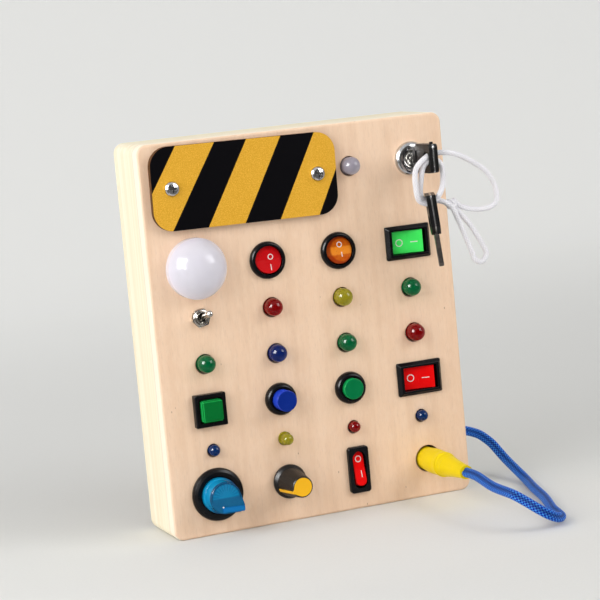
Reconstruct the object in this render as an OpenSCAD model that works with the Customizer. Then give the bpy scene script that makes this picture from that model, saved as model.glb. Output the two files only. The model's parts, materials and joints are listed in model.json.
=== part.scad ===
// Wooden busy board: a hollow wooden box whose front panel carries real switches,
// knobs, a key lock, a plug lead and small lamps for a young child to work.
// Millimetres. X runs to the right, Y into the board, Z up. The board stands on its
// lower edge, and the origin is the middle of that lower face.

/* [Board] */
// Width of the board
board_w = 141; // [138:1:160]
// Height of the board
board_h = 170; // [169:1:200]
// Thickness of the whole box
board_t = 33; // [32:1:45]
// Radius of the four corners, seen from the front
corner_r = 4.5; // [3:0.5:8]
// Radius of the softened outer arrises
arris_r = 1.2; // [0.4:0.2:2.4]
// Thickness of the front panel
panel_t = 6; // [4:0.5:7]
// Thickness of the frame's walls
wall_t = 6; // [4.5:0.5:8]
// Thickness of the back cover
cover_t = 3; // [2:0.5:4]
// Width of the ledge of the rebate that takes the back cover
rebate_w = 2.5; // [2:0.5:3.5]

/* [Layout] */
// Distance of the outer columns from the side edges
side_margin = 21.3; // [19:0.1:22]
// Sideways offset of the columns from the middle of the board
grid_shift = -0.4; // [-1.6:0.2:1.6]
// Sideways offset of the lamps from their columns
lamp_shift = 0.2; // [0:0.1:0.6]
// Height of the bottom row of controls
bottom_row = 18; // [17:0.5:20]
// Distance of the top row (plate, clear lamp and key lock) from the top edge
top_margin = 20; // [19:0.5:22]
// Distance from the bottom row up to the small lamps
small_lamp_gap = 19; // [18:0.2:20]
// Distance from the small lamps up to the push buttons
button_gap = 17.5; // [17:0.1:19]
// Distance between the rows from the push buttons up to the round rockers
row_pitch = 20.1; // [19:0.1:21]
// Gap between the striped plate and the dome lamp under it
plate_gap = 4.3; // [3:0.1:5]
// How far the rectangular rockers sit to the right of their column
rocker_shift = 0.6; // [0:0.2:2]
// Distance of the key lock from the right-hand edge
lock_margin = 16.2; // [14:0.1:20]
// Distance of the plug socket from the right-hand edge
socket_margin = 20; // [16:0.5:24]

/* [Hazard plate] */
// Width of the striped plate
plate_w = 83.8; // [76:0.2:86]
// Height of the striped plate
plate_h = 35.6; // [30:0.2:36]
// Thickness of the striped plate
plate_t = 3; // [2:0.5:4]
// Corner radius of the striped plate
plate_r = 8.5; // [4:0.5:12]
// Distance of the striped plate from the left-hand edge
plate_inset = 4.3; // [3:0.1:6]
// Gap between the striped plate and the clear lamp's middle
clear_lamp_gap = 7.5; // [6:0.1:9]
// Distance of the plate's screws from its ends
plate_screw_inset = 8.8; // [7:0.1:12]
// Small lean of the plate, clockwise in degrees
plate_lean = 0.9; // [0:0.1:2]

/* [Lamps] */
// Radius of the large lamps' lenses
lamp_r = 3.85; // [3.5:0.05:4.3]
// How far a large lamp stands out of the panel
lamp_out = 6.3; // [4.5:0.1:7]
// Radius of the small lamps' lenses
small_lamp_r = 2.45; // [2:0.05:3]
// How far a small lamp stands out of the panel
small_lamp_out = 3.9; // [3.2:0.1:5]
// How far the loosely seated yellow lamp stands out
loose_lamp_out = 6.6; // [5:0.1:7]
// Radius of the frosted dome lamp
dome_r = 13.1; // [12:0.1:13.6]
// Height of the dome lamp's straight rim
dome_rim_h = 3.6; // [2:0.2:6]
// Height of the dome above its rim
dome_cap_h = 9.8; // [6:0.2:12]
// Wall of the dome lamp's lens
dome_wall = 1; // [0.8:0.1:1.6]

/* [Rockers] */
// Width of a rectangular rocker switch's bezel
rocker_w = 21; // [20.6:0.1:23]
// Height of a rectangular rocker switch's bezel
rocker_h = 14.8; // [14.4:0.1:16.5]
// Height of the bezels above the panel
bezel_t = 2.3; // [1.8:0.1:3]
// Length of a rectangular rocker
rocker_len = 14.6; // [13.5:0.1:15]
// Width of a rectangular rocker
rocker_wid = 9.8; // [9:0.1:10]
// Tilt of the rockers to either side of level
rocker_tilt = 11; // [7:1:12]
// Radius of a round rocker switch's bezel
round_bezel_r = 8.1; // [8:0.1:9]
// Radius of a round rocker
round_rocker_r = 5.95; // [5.5:0.05:6.05]
// Width of the slim rocker switch's bezel
slim_w = 9.6; // [9:0.1:11]
// Height of the slim rocker switch's bezel
slim_h = 20.6; // [20:0.1:22.5]
// Length of the slim rocker's paddle
paddle_len = 15.2; // [14:0.1:15.6]
// Width of the slim rocker's paddle
paddle_wid = 5; // [4.4:0.1:5.2]
// Tilt of the slim rocker's paddle to either side of level
paddle_tilt = 12; // [8:1:13]

/* [Buttons] */
// Radius of a round push button's bezel
button_bezel_r = 7.1; // [6.9:0.05:8]
// Height of the push buttons' bezels
button_bezel_t = 3.1; // [2.4:0.1:4]
// Radius of a round push button's cap
button_cap_r = 4.55; // [4.2:0.05:4.9]
// How far a push button's cap stands out of the panel
button_out = 8.5; // [7.6:0.1:10]
// Travel of a push button
button_travel = 3; // [1.5:0.5:4]
// How far in the green push button is latched
green_latched = 3.3; // [0:0.1:3.4]
// Width of the square push button's bezel
square_w = 14.1; // [13.4:0.1:15]
// Width of the square push button's cap
square_cap_w = 9.6; // [8.6:0.1:9.8]

/* [Toggle switch] */
// Width across the flats of the toggle switch's nut
toggle_nut_af = 7.4; // [7:0.1:9]
// Radius of the toggle switch's bushing
bushing_r = 2.6; // [2.5:0.1:2.9]
// Length of the lever from its pivot to its tip
lever_len = 14.4; // [11:0.1:16]
// Tilt of the lever to either side of straight
lever_tilt = 12.5; // [8:0.5:13]

/* [Selector and dial] */
// Radius of the selector's bezel
selector_r = 11.5; // [11:0.1:13]
// Radius of the round base of the selector's knob
selector_base_r = 7.8; // [7.4:0.1:8.6]
// How far the selector's knob stands out of the panel
selector_out = 13; // [11:0.5:16]
// Direction of the selector's pointer, from +X towards +Z
selector_angle = -37; // [-60:1:0]
// Radius of the dial knob's skirt
dial_skirt_r = 7.45; // [7:0.05:8]
// How far the dial knob stands out of the panel
dial_out = 17; // [14:0.5:20]
// Direction of the dial's pointer, from +X towards +Z
dial_angle = 204; // [180:1:235]

/* [Key] */
// Radius of the lock's bezel
lock_bezel_r = 7.5; // [7.1:0.1:8.5]
// Radius of the lock's turning cylinder
lock_plug_r = 3.9; // [3.6:0.1:4.1]
// Width of the key's head
key_head_w = 12.4; // [12:0.2:15]
// Length of the key's head
key_head_len = 17.5; // [16:0.5:20]
// Thickness of the key's head
key_head_t = 4; // [3.4:0.2:5]
// Radius of the hole for the string
key_hole_r = 3; // [2.6:0.1:3.4]
// Length of the key's blade in front of its head
blade_len = 14; // [12:0.5:16]
// Width of the key's blade
blade_w = 6.2; // [5:0.1:6.4]
// Thickness of the key's blade
blade_t = 2; // [1.6:0.1:2.2]
// Diameter of the key string
string_d = 2; // [1.8:0.1:2]

/* [Plug lead] */
// Radius of the plug's body where it enters the panel
plug_r = 5.1; // [4.8:0.1:5.6]
// Length of the plug's grip in front of the panel
plug_grip = 17.5; // [15:0.5:20]
// Length of the plug's tapered tail
plug_tail = 21; // [19:0.5:24]
// Radius of the plug's pin
plug_pin_r = 1.75; // [1.5:0.05:1.9]
// Diameter of the lead
lead_d = 4.8; // [4.2:0.1:5.2]
// Height of the lead's hole in the right-hand side
lead_hole_z = 22; // [21:0.5:23]

/* [Battery compartment] */
// Length of the battery compartment
battery_len = 62; // [62:1:66]
// Width of the battery compartment
battery_wid = 34; // [33:0.5:36]
// Distance of the battery compartment's middle from the top edge
battery_drop = 26; // [25:0.5:28]
// Radius of a cell
cell_r = 7.1; // [6.5:0.1:7.2]
// Length of a cell
cell_len = 50; // [44:0.5:50]

/* [Fits] */
// Gap round a part that drops into a cut-out
cut_gap = 0.3; // [0.2:0.05:0.4]
// Gap round a moving part in its housing
move_gap = 0.3; // [0.25:0.05:0.35]
// Radial clearance of a pin or shaft that turns in a bore
run_gap = 0.05; // [0.03:0.01:0.08]

/* [Hidden] */
$fn = 64;

// Places on the panel's face, as [across, up]
plate_x = plate_inset + plate_w/2 - board_w/2;
col_pitch = (board_w - 2*side_margin)/3;
col = [for (i = [0:3]) grid_shift + (i - 1.5)*col_pitch];
lamp_col = [for (x = col) x + lamp_shift];
top_row = board_h - top_margin;
row_gaps = small_lamp_gap + button_gap + 3*row_pitch + plate_gap;
row_stretch = (top_row - plate_h/2 - dome_r - bottom_row)/row_gaps;
small_lamp_row = bottom_row + row_stretch*small_lamp_gap;
button_row = small_lamp_row + row_stretch*button_gap;
low_lamp_row = button_row + row_stretch*row_pitch;
high_lamp_row = low_lamp_row + row_stretch*row_pitch;
switch_row = high_lamp_row + row_stretch*row_pitch;
red_lamp_places = [[lamp_col[1], high_lamp_row], [lamp_col[3], low_lamp_row]];
green_lamp_places = [[lamp_col[3], high_lamp_row], [lamp_col[0], low_lamp_row],
    [lamp_col[2], low_lamp_row]];
yellow_lamp_place = [lamp_col[2], high_lamp_row];
blue_lamp_place = [lamp_col[1], low_lamp_row];
clear_lamp_place = [plate_x + plate_w/2 + clear_lamp_gap, top_row + 1];
small_blue_places = [[lamp_col[0], small_lamp_row], [lamp_col[3], small_lamp_row]];
small_yellow_place = [lamp_col[1], small_lamp_row];
small_red_place = [lamp_col[2], small_lamp_row];
dome_place = [col[0], switch_row + 0.9];
red_round_place = [col[1], switch_row + 0.2];
amber_round_place = [col[2] + 0.2, switch_row + 0.2];
green_rocker_place = [col[3] + rocker_shift, switch_row - 0.1];
red_rocker_place = [col[3] + rocker_shift, button_row - 0.5];
square_place = [col[0], button_row + 0.2];
blue_button_place = [col[1], button_row - 0.1];
green_button_place = [col[2], button_row - 0.1];
toggle_place = [col[0] + 0.1, high_lamp_row - 0.2];
selector_place = [col[0], bottom_row - 0.3];
dial_place = [col[1] + 0.2, bottom_row + 0.1];
slim_place = [col[2] + 0.5, bottom_row - 0.2];
socket_place = [board_w/2 - socket_margin, bottom_row - 1];
lock_place = [board_w/2 - lock_margin, top_row + 0.9];
plate_place = [plate_x, top_row];

// Wooden box
frame_t = board_t - panel_t;
lobe_r = 4.5;
lobe_x = board_w/2 - wall_t - lobe_r/2;
lobe_heights = [2*bottom_row - 2, board_h/2, board_h - 37];
cover_r = corner_r - rebate_w + cut_gap;
wood_screw_r = 1.45;
wood_screw_len = 12;
screw_head_r = 2.7;

// Lamps
lamp_flange_r = lamp_r + 0.65;
lamp_flange_t = 1.5;
small_flange_r = small_lamp_r + 0.4;
small_flange_t = 1;
lamp_leg_w = 0.5;
lamp_leg_len = 4;
dome_neck_r = dome_r - 1.8;

// Rocker switches
rocker_face = 2.6;
rocker_dish = 0.5;
rocker_pivot = -2.2;
rocker_pin_r = 1;
rocker_pin_hold = 0.6;
rocker_slope = 1.5;
rocker_body_w = rocker_w - 2;
rocker_body_h = rocker_h - 1.9;
rocker_body_d = 14;
round_face = 1.5;
round_dish = 0.4;
round_pivot = -0.3;
round_rocker_d = 2;
round_body_r = round_bezel_r - 0.9;
round_body_d = 14;
slim_pivot = -0.8;
slim_face = 2.3;
slim_dish = 0.5;
slim_body_w = slim_w - 1.2;
slim_body_h = slim_h - 1.8;
terminal_w = 4.8;
terminal_t = 0.8;
terminal_len = 6.5;

// Push buttons
button_neck_r = 5.9;
button_body_d = 17;
button_nut_t = 2.2;
square_body_w = 12;
cap_depth = 6;
button_room = cap_depth + max(button_travel, green_latched) + move_gap;

// Toggle, selector and dial
bushing_out = 3;
toggle_nut_t = 2;
toggle_body_w = 9.4;
toggle_body_h = 6.6;
toggle_body_d = 9;
toggle_pin_r = 0.5;
toggle_pin_len = 4.1;
lever_ball_r = 1.7;
lever_pivot = 0.4;
selector_bezel_t = 3;
selector_neck_r = 8;
selector_stem_r = 5;
selector_neck_len = 10;
selector_block_w = 17;
selector_block_d = 10;
selector_lobe_r = 6.8;
selector_lobe_back = 0.8;
selector_tip = 8.6;
selector_tip_w = 3;
dial_bushing_r = 3.5;
dial_can_r = 8.2;
dial_can_d = 6.5;
dial_tag_len = 5.8;
dial_shaft_r = 3;
dial_top_r = 4.65;
dial_foot = 0.8;
dial_grip_r = 6.3;
dial_taper = atan((dial_grip_r - dial_top_r)/(dial_out - dial_foot - 3.3));

// Key, plug and lead
lock_barrel_r = 5.9;
lock_barrel_d = 15;
lock_face = 2.3;
head_start = 7;
key_hole_inset = 3.9;
head_rise = 0.6;
tang_len = 9;
tang_w = 4.6;
tang_t = 1.2;
plug_sag = 0.35;
plug_depth = 5;
plug_tail_r = 3;
pin_len = 14;
socket_w = 16;
socket_barrel_r = 5.2;
socket_barrel_len = 15;
bush_flange_t = 1.5;
bush_r = lead_d/2 + 1.5;
lead_hole_y = 6;

// Route of the lead from the plug's tail down to the table and back to the right-hand side
lead_route = [[50.5, -55, 17], [50.5, -65, 17], [49.5, -82, 15.5], [50, -98.5, 15],
    [53, -104, 12.5], [56.5, -107.5, 9.5], [60, -109, 7], [64, -108.5, 4.5], [68, -106.5, 3.5],
    [71.5, -102.5, 3], [73.5, -95, 2.5], [75.5, -86, 2.5], [82, -66.5, 3],
    [87, -45.5, 3], [93, -25.5, 3], [94.5, -7, 7], [93.5, -1.5, 10.5], [92, 2.5, 14.5],
    [89.5, 5, 17.5], [86, 6, 19.5], [79, 6, 22], [72, 6, 22], [65, 6, 22]];
lead_split = 12;

// Route of the key string: out of the knot, round the loose tail, back through the knot and
// twice through both keys
string_route = [[61, -37.6, 131], [65, -38, 127.5], [70.5, -38, 120.5], [74.5, -38, 113],
    [76, -38, 107.5], [73.5, -38.5, 105], [70, -39, 109], [67, -39.5, 116], [64, -39.5, 124],
    [61, -40, 130.2], [56.5, -38.5, 133], [52, -36, 133], [49, -36, 136], [49, -37, 142],
    [50.5, -38, 148.5], [54.5, -38.5, 151], [58.5, -38.5, 148.5], [59, -38, 141], [56, -40, 136],
    [52, -39, 132.5], [47, -38.5, 134], [45.5, -39, 140], [46.5, -38.5, 147.5], [51, -39, 152],
    [57.5, -36.5, 153.5], [65, -38.5, 152.5], [73, -38, 148.5], [80, -38, 143], [84, -37.5, 136],
    [83, -38.5, 129], [76, -38, 127], [67.5, -38, 129], [62.8, -38, 132.6]];

// Battery compartment
box_wall = 1.5;
door_t = 2;
box_flange = 2;
box_flange_t = 1.5;
door_screw_x = battery_len/2 - 3.1;
battery_z = board_h - battery_drop;
box_end_wall = 2.3;
contact_gap = 2.2;
contact_size = 10;
cell_bay_len = cell_len + 2*contact_gap;
cells_x = -battery_len/2 + box_end_wall + cell_bay_len/2;

// ---------- shared shapes, drawn flat on the panel's face and then stood up ----------

// Stands the board up: plan X stays X, plan Y becomes Z, and plan Z points out of the face
module upright() {
    translate([0, -board_t/2, 0]) rotate([90, 0, 0]) children();
}

// A piece at a place on the panel's face
module at(place) {
    upright() translate([place[0], place[1], 0]) children();
}

// Rectangle with round corners, centred
module rounded_rect(w, h, r) {
    square([w - 2*r, h], center = true);
    square([w, h - 2*r], center = true);
    for (sx = [-1, 1], sy = [-1, 1])
        translate([sx*(w/2 - r), sy*(h/2 - r)]) circle(r = r);
}

// Points of an arc of an ellipse with half axes a and b, from angle u to angle v
function arc_points(a, b, u, v, steps) =
    [for (i = [0:steps]) let (t = u + (v - u)*i/steps) [a*cos(t), b*sin(t)]];

function moved(points, dx, dy) = [for (p = points) [p[0] + dx, p[1] + dy]];

// Slab w by h by t with plan corners of radius r, whose rim has the section children()
// draws: that section starts at x = 0, r inside the outline, and reaches outwards to x = r
module rimmed_slab(w, h, r, t) {
    cw = w - 2*r;
    ch = h - 2*r;
    translate([-cw/2, -ch/2, 0]) cube([cw, ch, t]);
    for (side = [0, 180]) rotate(side) {
        translate([cw/2, 0, 0]) rotate([90, 0, 0]) linear_extrude(ch, center = true) children();
        translate([0, ch/2, 0]) rotate([90, 0, 90]) linear_extrude(cw, center = true) children();
        translate([cw/2, ch/2, 0]) rotate_extrude(angle = 90) children();
        translate([-cw/2, ch/2, 0]) rotate(90) rotate_extrude(angle = 90) children();
    }
}

// Rim section with a quarter round of radius e on its upper outer corner
module soft_rim(r, t, e) {
    polygon(concat([[0, 0], [r, 0]], moved(arc_points(e, e, 0, 90, 4), r - e, t - e), [[0, t]]));
}

// Rim section that slopes in by s towards its top
module sloped_rim(r, t, s) {
    polygon([[0, 0], [r, 0], [r, t*0.3], [r - s, t], [0, t]]);
}

// Round ring that bulges from its outer foot to its inner lip
module bulged_ring(outer, inner, t) {
    bulge = outer - inner - 0.6;
    rotate_extrude() polygon(concat([[inner, 0], [outer, 0], [outer, t*0.2]],
        moved(arc_points(bulge, t*0.8, 15, 90, 6), outer - bulge, t*0.2), [[inner, t]]));
}

// Two flat solder terminals at the back of a switch
module terminals(depth, spread, count = 2) {
    for (i = [0:count - 1])
        translate([(i - (count - 1)/2)*spread - terminal_t/2, -terminal_w/2, -depth - terminal_len])
            cube([terminal_t, terminal_w, terminal_len]);
}

// Cross recess of a screw head, cut down from z = 0
module cross_recess(size, depth) {
    for (turn = [0, 90]) rotate(turn)
        translate([-size/2, -size/9, -depth]) cube([size, size*2/9, depth + 0.5]);
}

// Hexagon nut of width af with its top at z = 0
module hex_nut(af, t, bore) {
    difference() {
        translate([0, 0, -t]) cylinder(d = af/cos(30), h = t, $fn = 6);
        translate([0, 0, -t - 1]) cylinder(r = bore, h = t + 2);
    }
}

// Point at t, from 0 to 1, of the smooth curve from b to c whose neighbours are a and d
function curve_point(a, b, c, d, t) = 0.5*(2*b + (c - a)*t + (2*a - 5*b + 4*c - d)*t*t
    + (3*b - a - 3*c + d)*t*t*t);

// Route points with one more point put on the smooth curve between each two
function smooth(route) = let (last = len(route) - 1, ends = [2*route[0] - route[1],
        2*route[last] - route[last - 1]])
    [for (k = [0:2*last]) let (i = floor(k/2)) k % 2 == 0 ? route[i]
        : curve_point(i == 0 ? ends[0] : route[i - 1], route[i], route[i + 1],
            i + 2 > last ? ends[1] : route[i + 2], 0.5)];

function unit(v) = v/norm(v);

// Direction of travel at point i of a route
function heading(route, i) =
    unit(route[min(i + 1, len(route) - 1)] - route[max(i - 1, 0)]);

// Sideways direction at each point of a route, carried along without twist from the first
function sideways(route, side, i = 0) = i == len(route) ? []
    : let (h = heading(route, i), s = unit(side - (side*h)*h)) concat([s], sideways(route, s, i + 1));

// Round cord of diameter d with the given number of sides, swept along a route from its
// point first to its point last
module cord(route, d, sides, first, last) {
    sways = sideways(route, [0, 0, 1]);
    rings = [for (i = [first:last], k = [0:sides - 1])
        let (h = heading(route, i), turn = 360*k/sides)
            route[i] + d/2*(cos(turn)*sways[i] + sin(turn)*cross(h, sways[i]))];
    walls = [for (i = [0:last - first - 1], k = [0:sides - 1])
        let (a = i*sides, b = a + sides, next = (k + 1) % sides) [a + k, b + k, b + next, a + next]];
    start_cap = [for (k = [0:sides - 1]) k];
    end_cap = [for (k = [sides - 1:-1:0]) (last - first)*sides + k];
    polyhedron(rings, concat([start_cap], walls, [end_cap]));
}

// ---------- wooden box ----------

// Every hole that the panel's parts pass through
module panel_holes() {
    module hole(place, r) {
        translate([place[0], place[1], -panel_t - 1]) cylinder(r = r, h = panel_t + 2);
    }
    module window(place, w, h) {
        translate([place[0] - w/2, place[1] - h/2, -panel_t - 1]) cube([w, h, panel_t + 2]);
    }
    for (place = concat(red_lamp_places, green_lamp_places,
            [yellow_lamp_place, blue_lamp_place, clear_lamp_place])) {
        hole(place, lamp_r + cut_gap);
        translate([place[0], place[1], -panel_t - 1])
            cylinder(r = lamp_flange_r + cut_gap, h = lamp_flange_t + 1);
    }
    for (place = concat(small_blue_places, [small_yellow_place, small_red_place]))
        hole(place, small_lamp_r + cut_gap);
    for (place = concat(small_blue_places, [small_red_place]))
        translate([place[0], place[1], -panel_t - 1])
            cylinder(r = small_flange_r + cut_gap, h = small_flange_t + 1);
    hole(dome_place, dome_neck_r + cut_gap);
    for (place = [red_round_place, amber_round_place]) hole(place, round_body_r + cut_gap);
    for (place = [green_rocker_place, red_rocker_place])
        window(place, rocker_body_w + 2*cut_gap, rocker_body_h + 2*cut_gap);
    window(slim_place, slim_body_w + 2*cut_gap, slim_body_h + 2*cut_gap);
    for (place = [blue_button_place, green_button_place]) hole(place, button_neck_r + cut_gap);
    window(square_place, square_body_w + 2*cut_gap, square_body_w + 2*cut_gap);
    hole(toggle_place, bushing_r + cut_gap);
    hole(selector_place, selector_neck_r + cut_gap);
    hole(dial_place, dial_bushing_r + cut_gap);
    hole([socket_place[0], socket_place[1] + plug_sag], plug_r + 2*plug_sag);
    hole(lock_place, lock_barrel_r + cut_gap);
    on_plate_screws() translate([0, 0, -panel_t - 1]) cylinder(r = wood_screw_r + run_gap, h = panel_t + 2);
}

module front_panel() {
    color("burlywood") upright() difference() {
        translate([0, board_h/2, -panel_t])
            rimmed_slab(board_w, board_h, corner_r, panel_t) soft_rim(corner_r, panel_t, arris_r);
        panel_holes();
    }
}

// Places of the back cover's screws, in plan
module on_cover_screws() {
    for (side = [-1, 1], up = lobe_heights) translate([side*lobe_x, up, -board_t]) children();
}

module frame() {
    inner_w = board_w - 2*wall_t;
    inner_h = board_h - 2*wall_t;
    inner_depth = frame_t - cover_t;
    color("blanchedalmond") upright() difference() {
        translate([0, board_h/2, -panel_t]) mirror([0, 0, 1]) difference() {
            rimmed_slab(board_w, board_h, corner_r, frame_t) soft_rim(corner_r, frame_t, arris_r);
            translate([0, 0, -1]) linear_extrude(inner_depth + 1.5) difference() {
                rounded_rect(inner_w, inner_h, corner_r);
                for (side = [-1, 1], up = lobe_heights) {
                    translate([side*lobe_x, up - board_h/2]) circle(r = lobe_r);
                    translate([side*(lobe_x + lobe_r), up - board_h/2])
                        square(2*lobe_r, center = true);
                }
            }
            translate([0, 0, inner_depth]) linear_extrude(cover_t + 1)
                rounded_rect(board_w - 2*rebate_w, board_h - 2*rebate_w, cover_r);
        }
        on_cover_screws() cylinder(r = wood_screw_r + run_gap, h = cover_t + wood_screw_len);
        translate([board_w/2 - wall_t - 1, lead_hole_z, -board_t/2 - lead_hole_y]) rotate([0, 90, 0])
            cylinder(r = bush_r + run_gap, h = wall_t + 2);
    }
}

module back_cover() {
    color("burlywood") upright() difference() {
        translate([0, board_h/2, -board_t]) linear_extrude(cover_t)
            rounded_rect(board_w - 2*rebate_w - 2*cut_gap, board_h - 2*rebate_w - 2*cut_gap,
                cover_r - cut_gap);
        on_cover_screws() translate([0, 0, -1]) cylinder(r = wood_screw_r + cut_gap, h = cover_t + 2);
        on_cover_screws() translate([0, 0, -run_gap])
            cylinder(r1 = screw_head_r + run_gap*2, r2 = wood_screw_r + run_gap*2, h = 1.7);
        translate([-battery_len/2 - cut_gap, battery_z - battery_wid/2 - cut_gap, -board_t - 1])
            cube([battery_len + 2*cut_gap, battery_wid + 2*cut_gap, cover_t + 2]);
    }
}

// Countersunk wood screw with its head up to z = 0 and its shank pointing up from there
module countersunk_screw(len) {
    difference() {
        union() {
            cylinder(r1 = screw_head_r, r2 = wood_screw_r, h = 1.6);
            cylinder(r = wood_screw_r, h = len - 2);
            translate([0, 0, len - 2]) cylinder(r1 = wood_screw_r, r2 = 0.3, h = 2);
        }
        mirror([0, 0, 1]) cross_recess(3, 1.2);
    }
}

module back_cover_screws() {
    color("silver") upright() on_cover_screws() countersunk_screw(wood_screw_len);
}

// ---------- battery compartment ----------

module battery_box() {
    floor_z = -board_t + door_t + 2*cell_r + 0.8;
    color("dimgray") upright() translate([0, battery_z, 0]) difference() {
        union() {
            translate([-battery_len/2, -battery_wid/2, -board_t + door_t])
                cube([battery_len, battery_wid, 2*cell_r + 0.8 + box_wall]);
            translate([-battery_len/2 - box_flange, -battery_wid/2 - box_flange, -board_t + cover_t])
                cube([battery_len + 2*box_flange, battery_wid + 2*box_flange, box_flange_t]);
        }
        for (side = [-1, 1]) translate([cells_x - cell_bay_len/2, side*(battery_wid/4 - 0.35), floor_z]) {
            translate([0, -cell_r - 0.3, -2*cell_r - 2])
                cube([cell_bay_len, 2*cell_r + 0.6, cell_r + 2]);
            translate([0, 0, -cell_r - 0.4]) rotate([0, 90, 0])
                cylinder(r = cell_r + 0.3, h = cell_bay_len);
        }
        translate([cells_x - cell_bay_len/2, -battery_wid/4, floor_z - 2*cell_r - 2])
            cube([cell_bay_len, battery_wid/2, cell_r]);
        translate([door_screw_x, 0, -board_t + door_t - 1]) cylinder(r = 1, h = 9);
    }
}

// Height of the cells' axes above the back of the board, in plan
function cell_axis() = -board_t + door_t + cell_r + 0.4;

module battery_cells() {
    color("darkorange") upright()
        for (side = [-1, 1]) translate([cells_x, battery_z + side*(battery_wid/4 - 0.35), cell_axis()])
            rotate([0, side*90, 0]) {
                translate([0, 0, -cell_len/2]) cylinder(r = cell_r, h = cell_len - 1);
                translate([0, 0, cell_len/2 - 1]) cylinder(r = 2.75, h = 1);
            }
}

// Two coil-faced negative springs and two flat positive plates on the end walls
module battery_contacts() {
    color("lightgray") upright()
        for (side = [-1, 1]) translate([cells_x, battery_z + side*(battery_wid/4 - 0.35), cell_axis()])
            rotate([0, side*90, 0]) {
                translate([-contact_size/2, -contact_size/2, cell_len/2 + 1.5])
                    cube([contact_size, contact_size, 0.5]);
                translate([0, 0, cell_len/2]) cylinder(r = 1.6, h = 1.5);
                translate([0, 0, -cell_len/2 - 2]) cylinder(r1 = 4.6, r2 = 2.6, h = 2);
            }
}

module battery_door() {
    grip_lines = 5;
    color("dimgray") upright() translate([0, battery_z, -board_t]) difference() {
        translate([-battery_len/2, -battery_wid/2, 0]) cube([battery_len, battery_wid, door_t]);
        for (i = [0:grip_lines - 1])
            translate([-battery_len/2 + 5 + 2.2*i, -9, -1]) cube([1, 18, 1.5]);
        translate([door_screw_x, 0, -1]) cylinder(r = 1.3, h = door_t + 2);
        translate([door_screw_x, 0, -1]) cylinder(r = 2.3, h = 2);
    }
}

module battery_door_screw() {
    color("silver") upright() translate([door_screw_x, battery_z, -board_t]) difference() {
        union() {
            translate([0, 0, 0.05]) cylinder(r = 2, h = 0.95);
            translate([0, 0, 0.5]) cylinder(r = 0.95, h = 8);
        }
        translate([0, 0, 0.05]) mirror([0, 0, 1]) cross_recess(2.2, 0.7);
    }
}

// ---------- striped plate ----------

module on_plate_screws() {
    translate([plate_place[0], plate_place[1], 0]) rotate(-plate_lean)
        for (side = [-1, 1]) translate([side*(plate_w/2 - plate_screw_inset), 0, 0]) children();
}

module hazard_plate() {
    color("goldenrod") upright() difference() {
        translate([plate_place[0], plate_place[1], 0]) rotate(-plate_lean)
            linear_extrude(plate_t) rounded_rect(plate_w, plate_h, plate_r);
        on_plate_screws() translate([0, 0, -1]) cylinder(r = wood_screw_r + cut_gap, h = plate_t + 2);
    }
}

module plate_screws() {
    pan_r = 3.2;
    pan_h = 2.2;
    color("silver") upright() on_plate_screws() translate([0, 0, plate_t]) difference() {
        union() {
            rotate_extrude() polygon(concat([[0, 0], [pan_r, 0], [pan_r, 0.5]],
                moved(arc_points(pan_r, pan_h - 0.5, 0, 90, 6), 0, 0.5)));
            translate([0, 0, -plate_t - panel_t + 1]) cylinder(r = wood_screw_r, h = plate_t + panel_t);
            translate([0, 0, -plate_t - panel_t - 1]) cylinder(r1 = 0.3, r2 = wood_screw_r, h = 2);
        }
        translate([0, 0, pan_h]) cross_recess(3.4, 1.3);
    }
}

// ---------- key lock and keys ----------

module lock_housing() {
    lip_r = lock_plug_r + 0.6;
    bulge = lock_bezel_r - lip_r - 0.4;
    bore = lock_plug_r + run_gap;
    color("silver") at(lock_place) {
        rotate_extrude() polygon(concat([[bore, -lock_barrel_d], [lock_barrel_r, -lock_barrel_d],
            [lock_barrel_r, 0], [lock_bezel_r, 0], [lock_bezel_r, 0.7]],
            moved(arc_points(bulge, 2.3, 0, 90, 6), lock_bezel_r - bulge, 0.7),
            [[lip_r, 3], [lip_r, 1.5], [bore, 1.5]]));
        translate([0, 0, -lock_barrel_d - 4]) cylinder(r = lock_barrel_r + 0.6, h = 4);
        terminals(lock_barrel_d + 4, 7);
    }
}

module lock_nut() {
    color("silver") at(lock_place) translate([0, 0, -panel_t])
        hex_nut(14, 2.5, lock_barrel_r + run_gap);
}

module lock_cylinder() {
    depth = blade_len - (head_start - lock_face) + 1.5;
    color("lightgray") at(lock_place) difference() {
        translate([0, 0, -lock_barrel_d + 0.3])
            cylinder(r = lock_plug_r, h = lock_face + lock_barrel_d - 0.3);
        translate([-blade_t/2 - 0.1, -blade_w/2 - 0.1, lock_face - depth])
            cube([blade_t + 0.2, blade_w + 0.2, depth + 1]);
    }
}

// Outline of a key's blade, pointing to -Y from the head's end at y = 0, with a row of cuts
module blade_outline() {
    cut_depths = [0.9, 1.7, 0.6, 1.4, 1.1];
    cut_pitch = (blade_len - 5)/len(cut_depths);
    edge = [for (i = [0:len(cut_depths) - 1], k = [0, 1, 2])
        [blade_w/2 - (k == 1 ? cut_depths[i] : 0.15), -3 - cut_pitch*(i + k*0.5)]];
    polygon(concat([[-tang_w/2, tang_len], [tang_w/2, tang_len], [tang_w/2, 0], [blade_w/2, 0]], edge,
        [[blade_w/2 - 2, -blade_len], [-blade_w/2 + 1.5, -blade_len],
        [-blade_w/2, -blade_len + 1.5], [-blade_w/2, 0], [-tang_w/2, 0]]));
}

// A key's blade, flat in XY, with a milled groove along each face; its tang is thinner
module flat_blade() {
    difference() {
        translate([0, 0, -blade_t/2]) linear_extrude(blade_t) blade_outline();
        for (side = [0, 180]) rotate([0, side, 0]) {
            translate([-blade_w/2, 0, tang_t/2]) cube([blade_w, tang_len + 1, blade_t]);
            translate([side == 0 ? -1.9 : 1, -blade_len - 1, blade_t/2 - 0.35])
                cube([0.9, blade_len, blade_t]);
        }
    }
}

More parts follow.
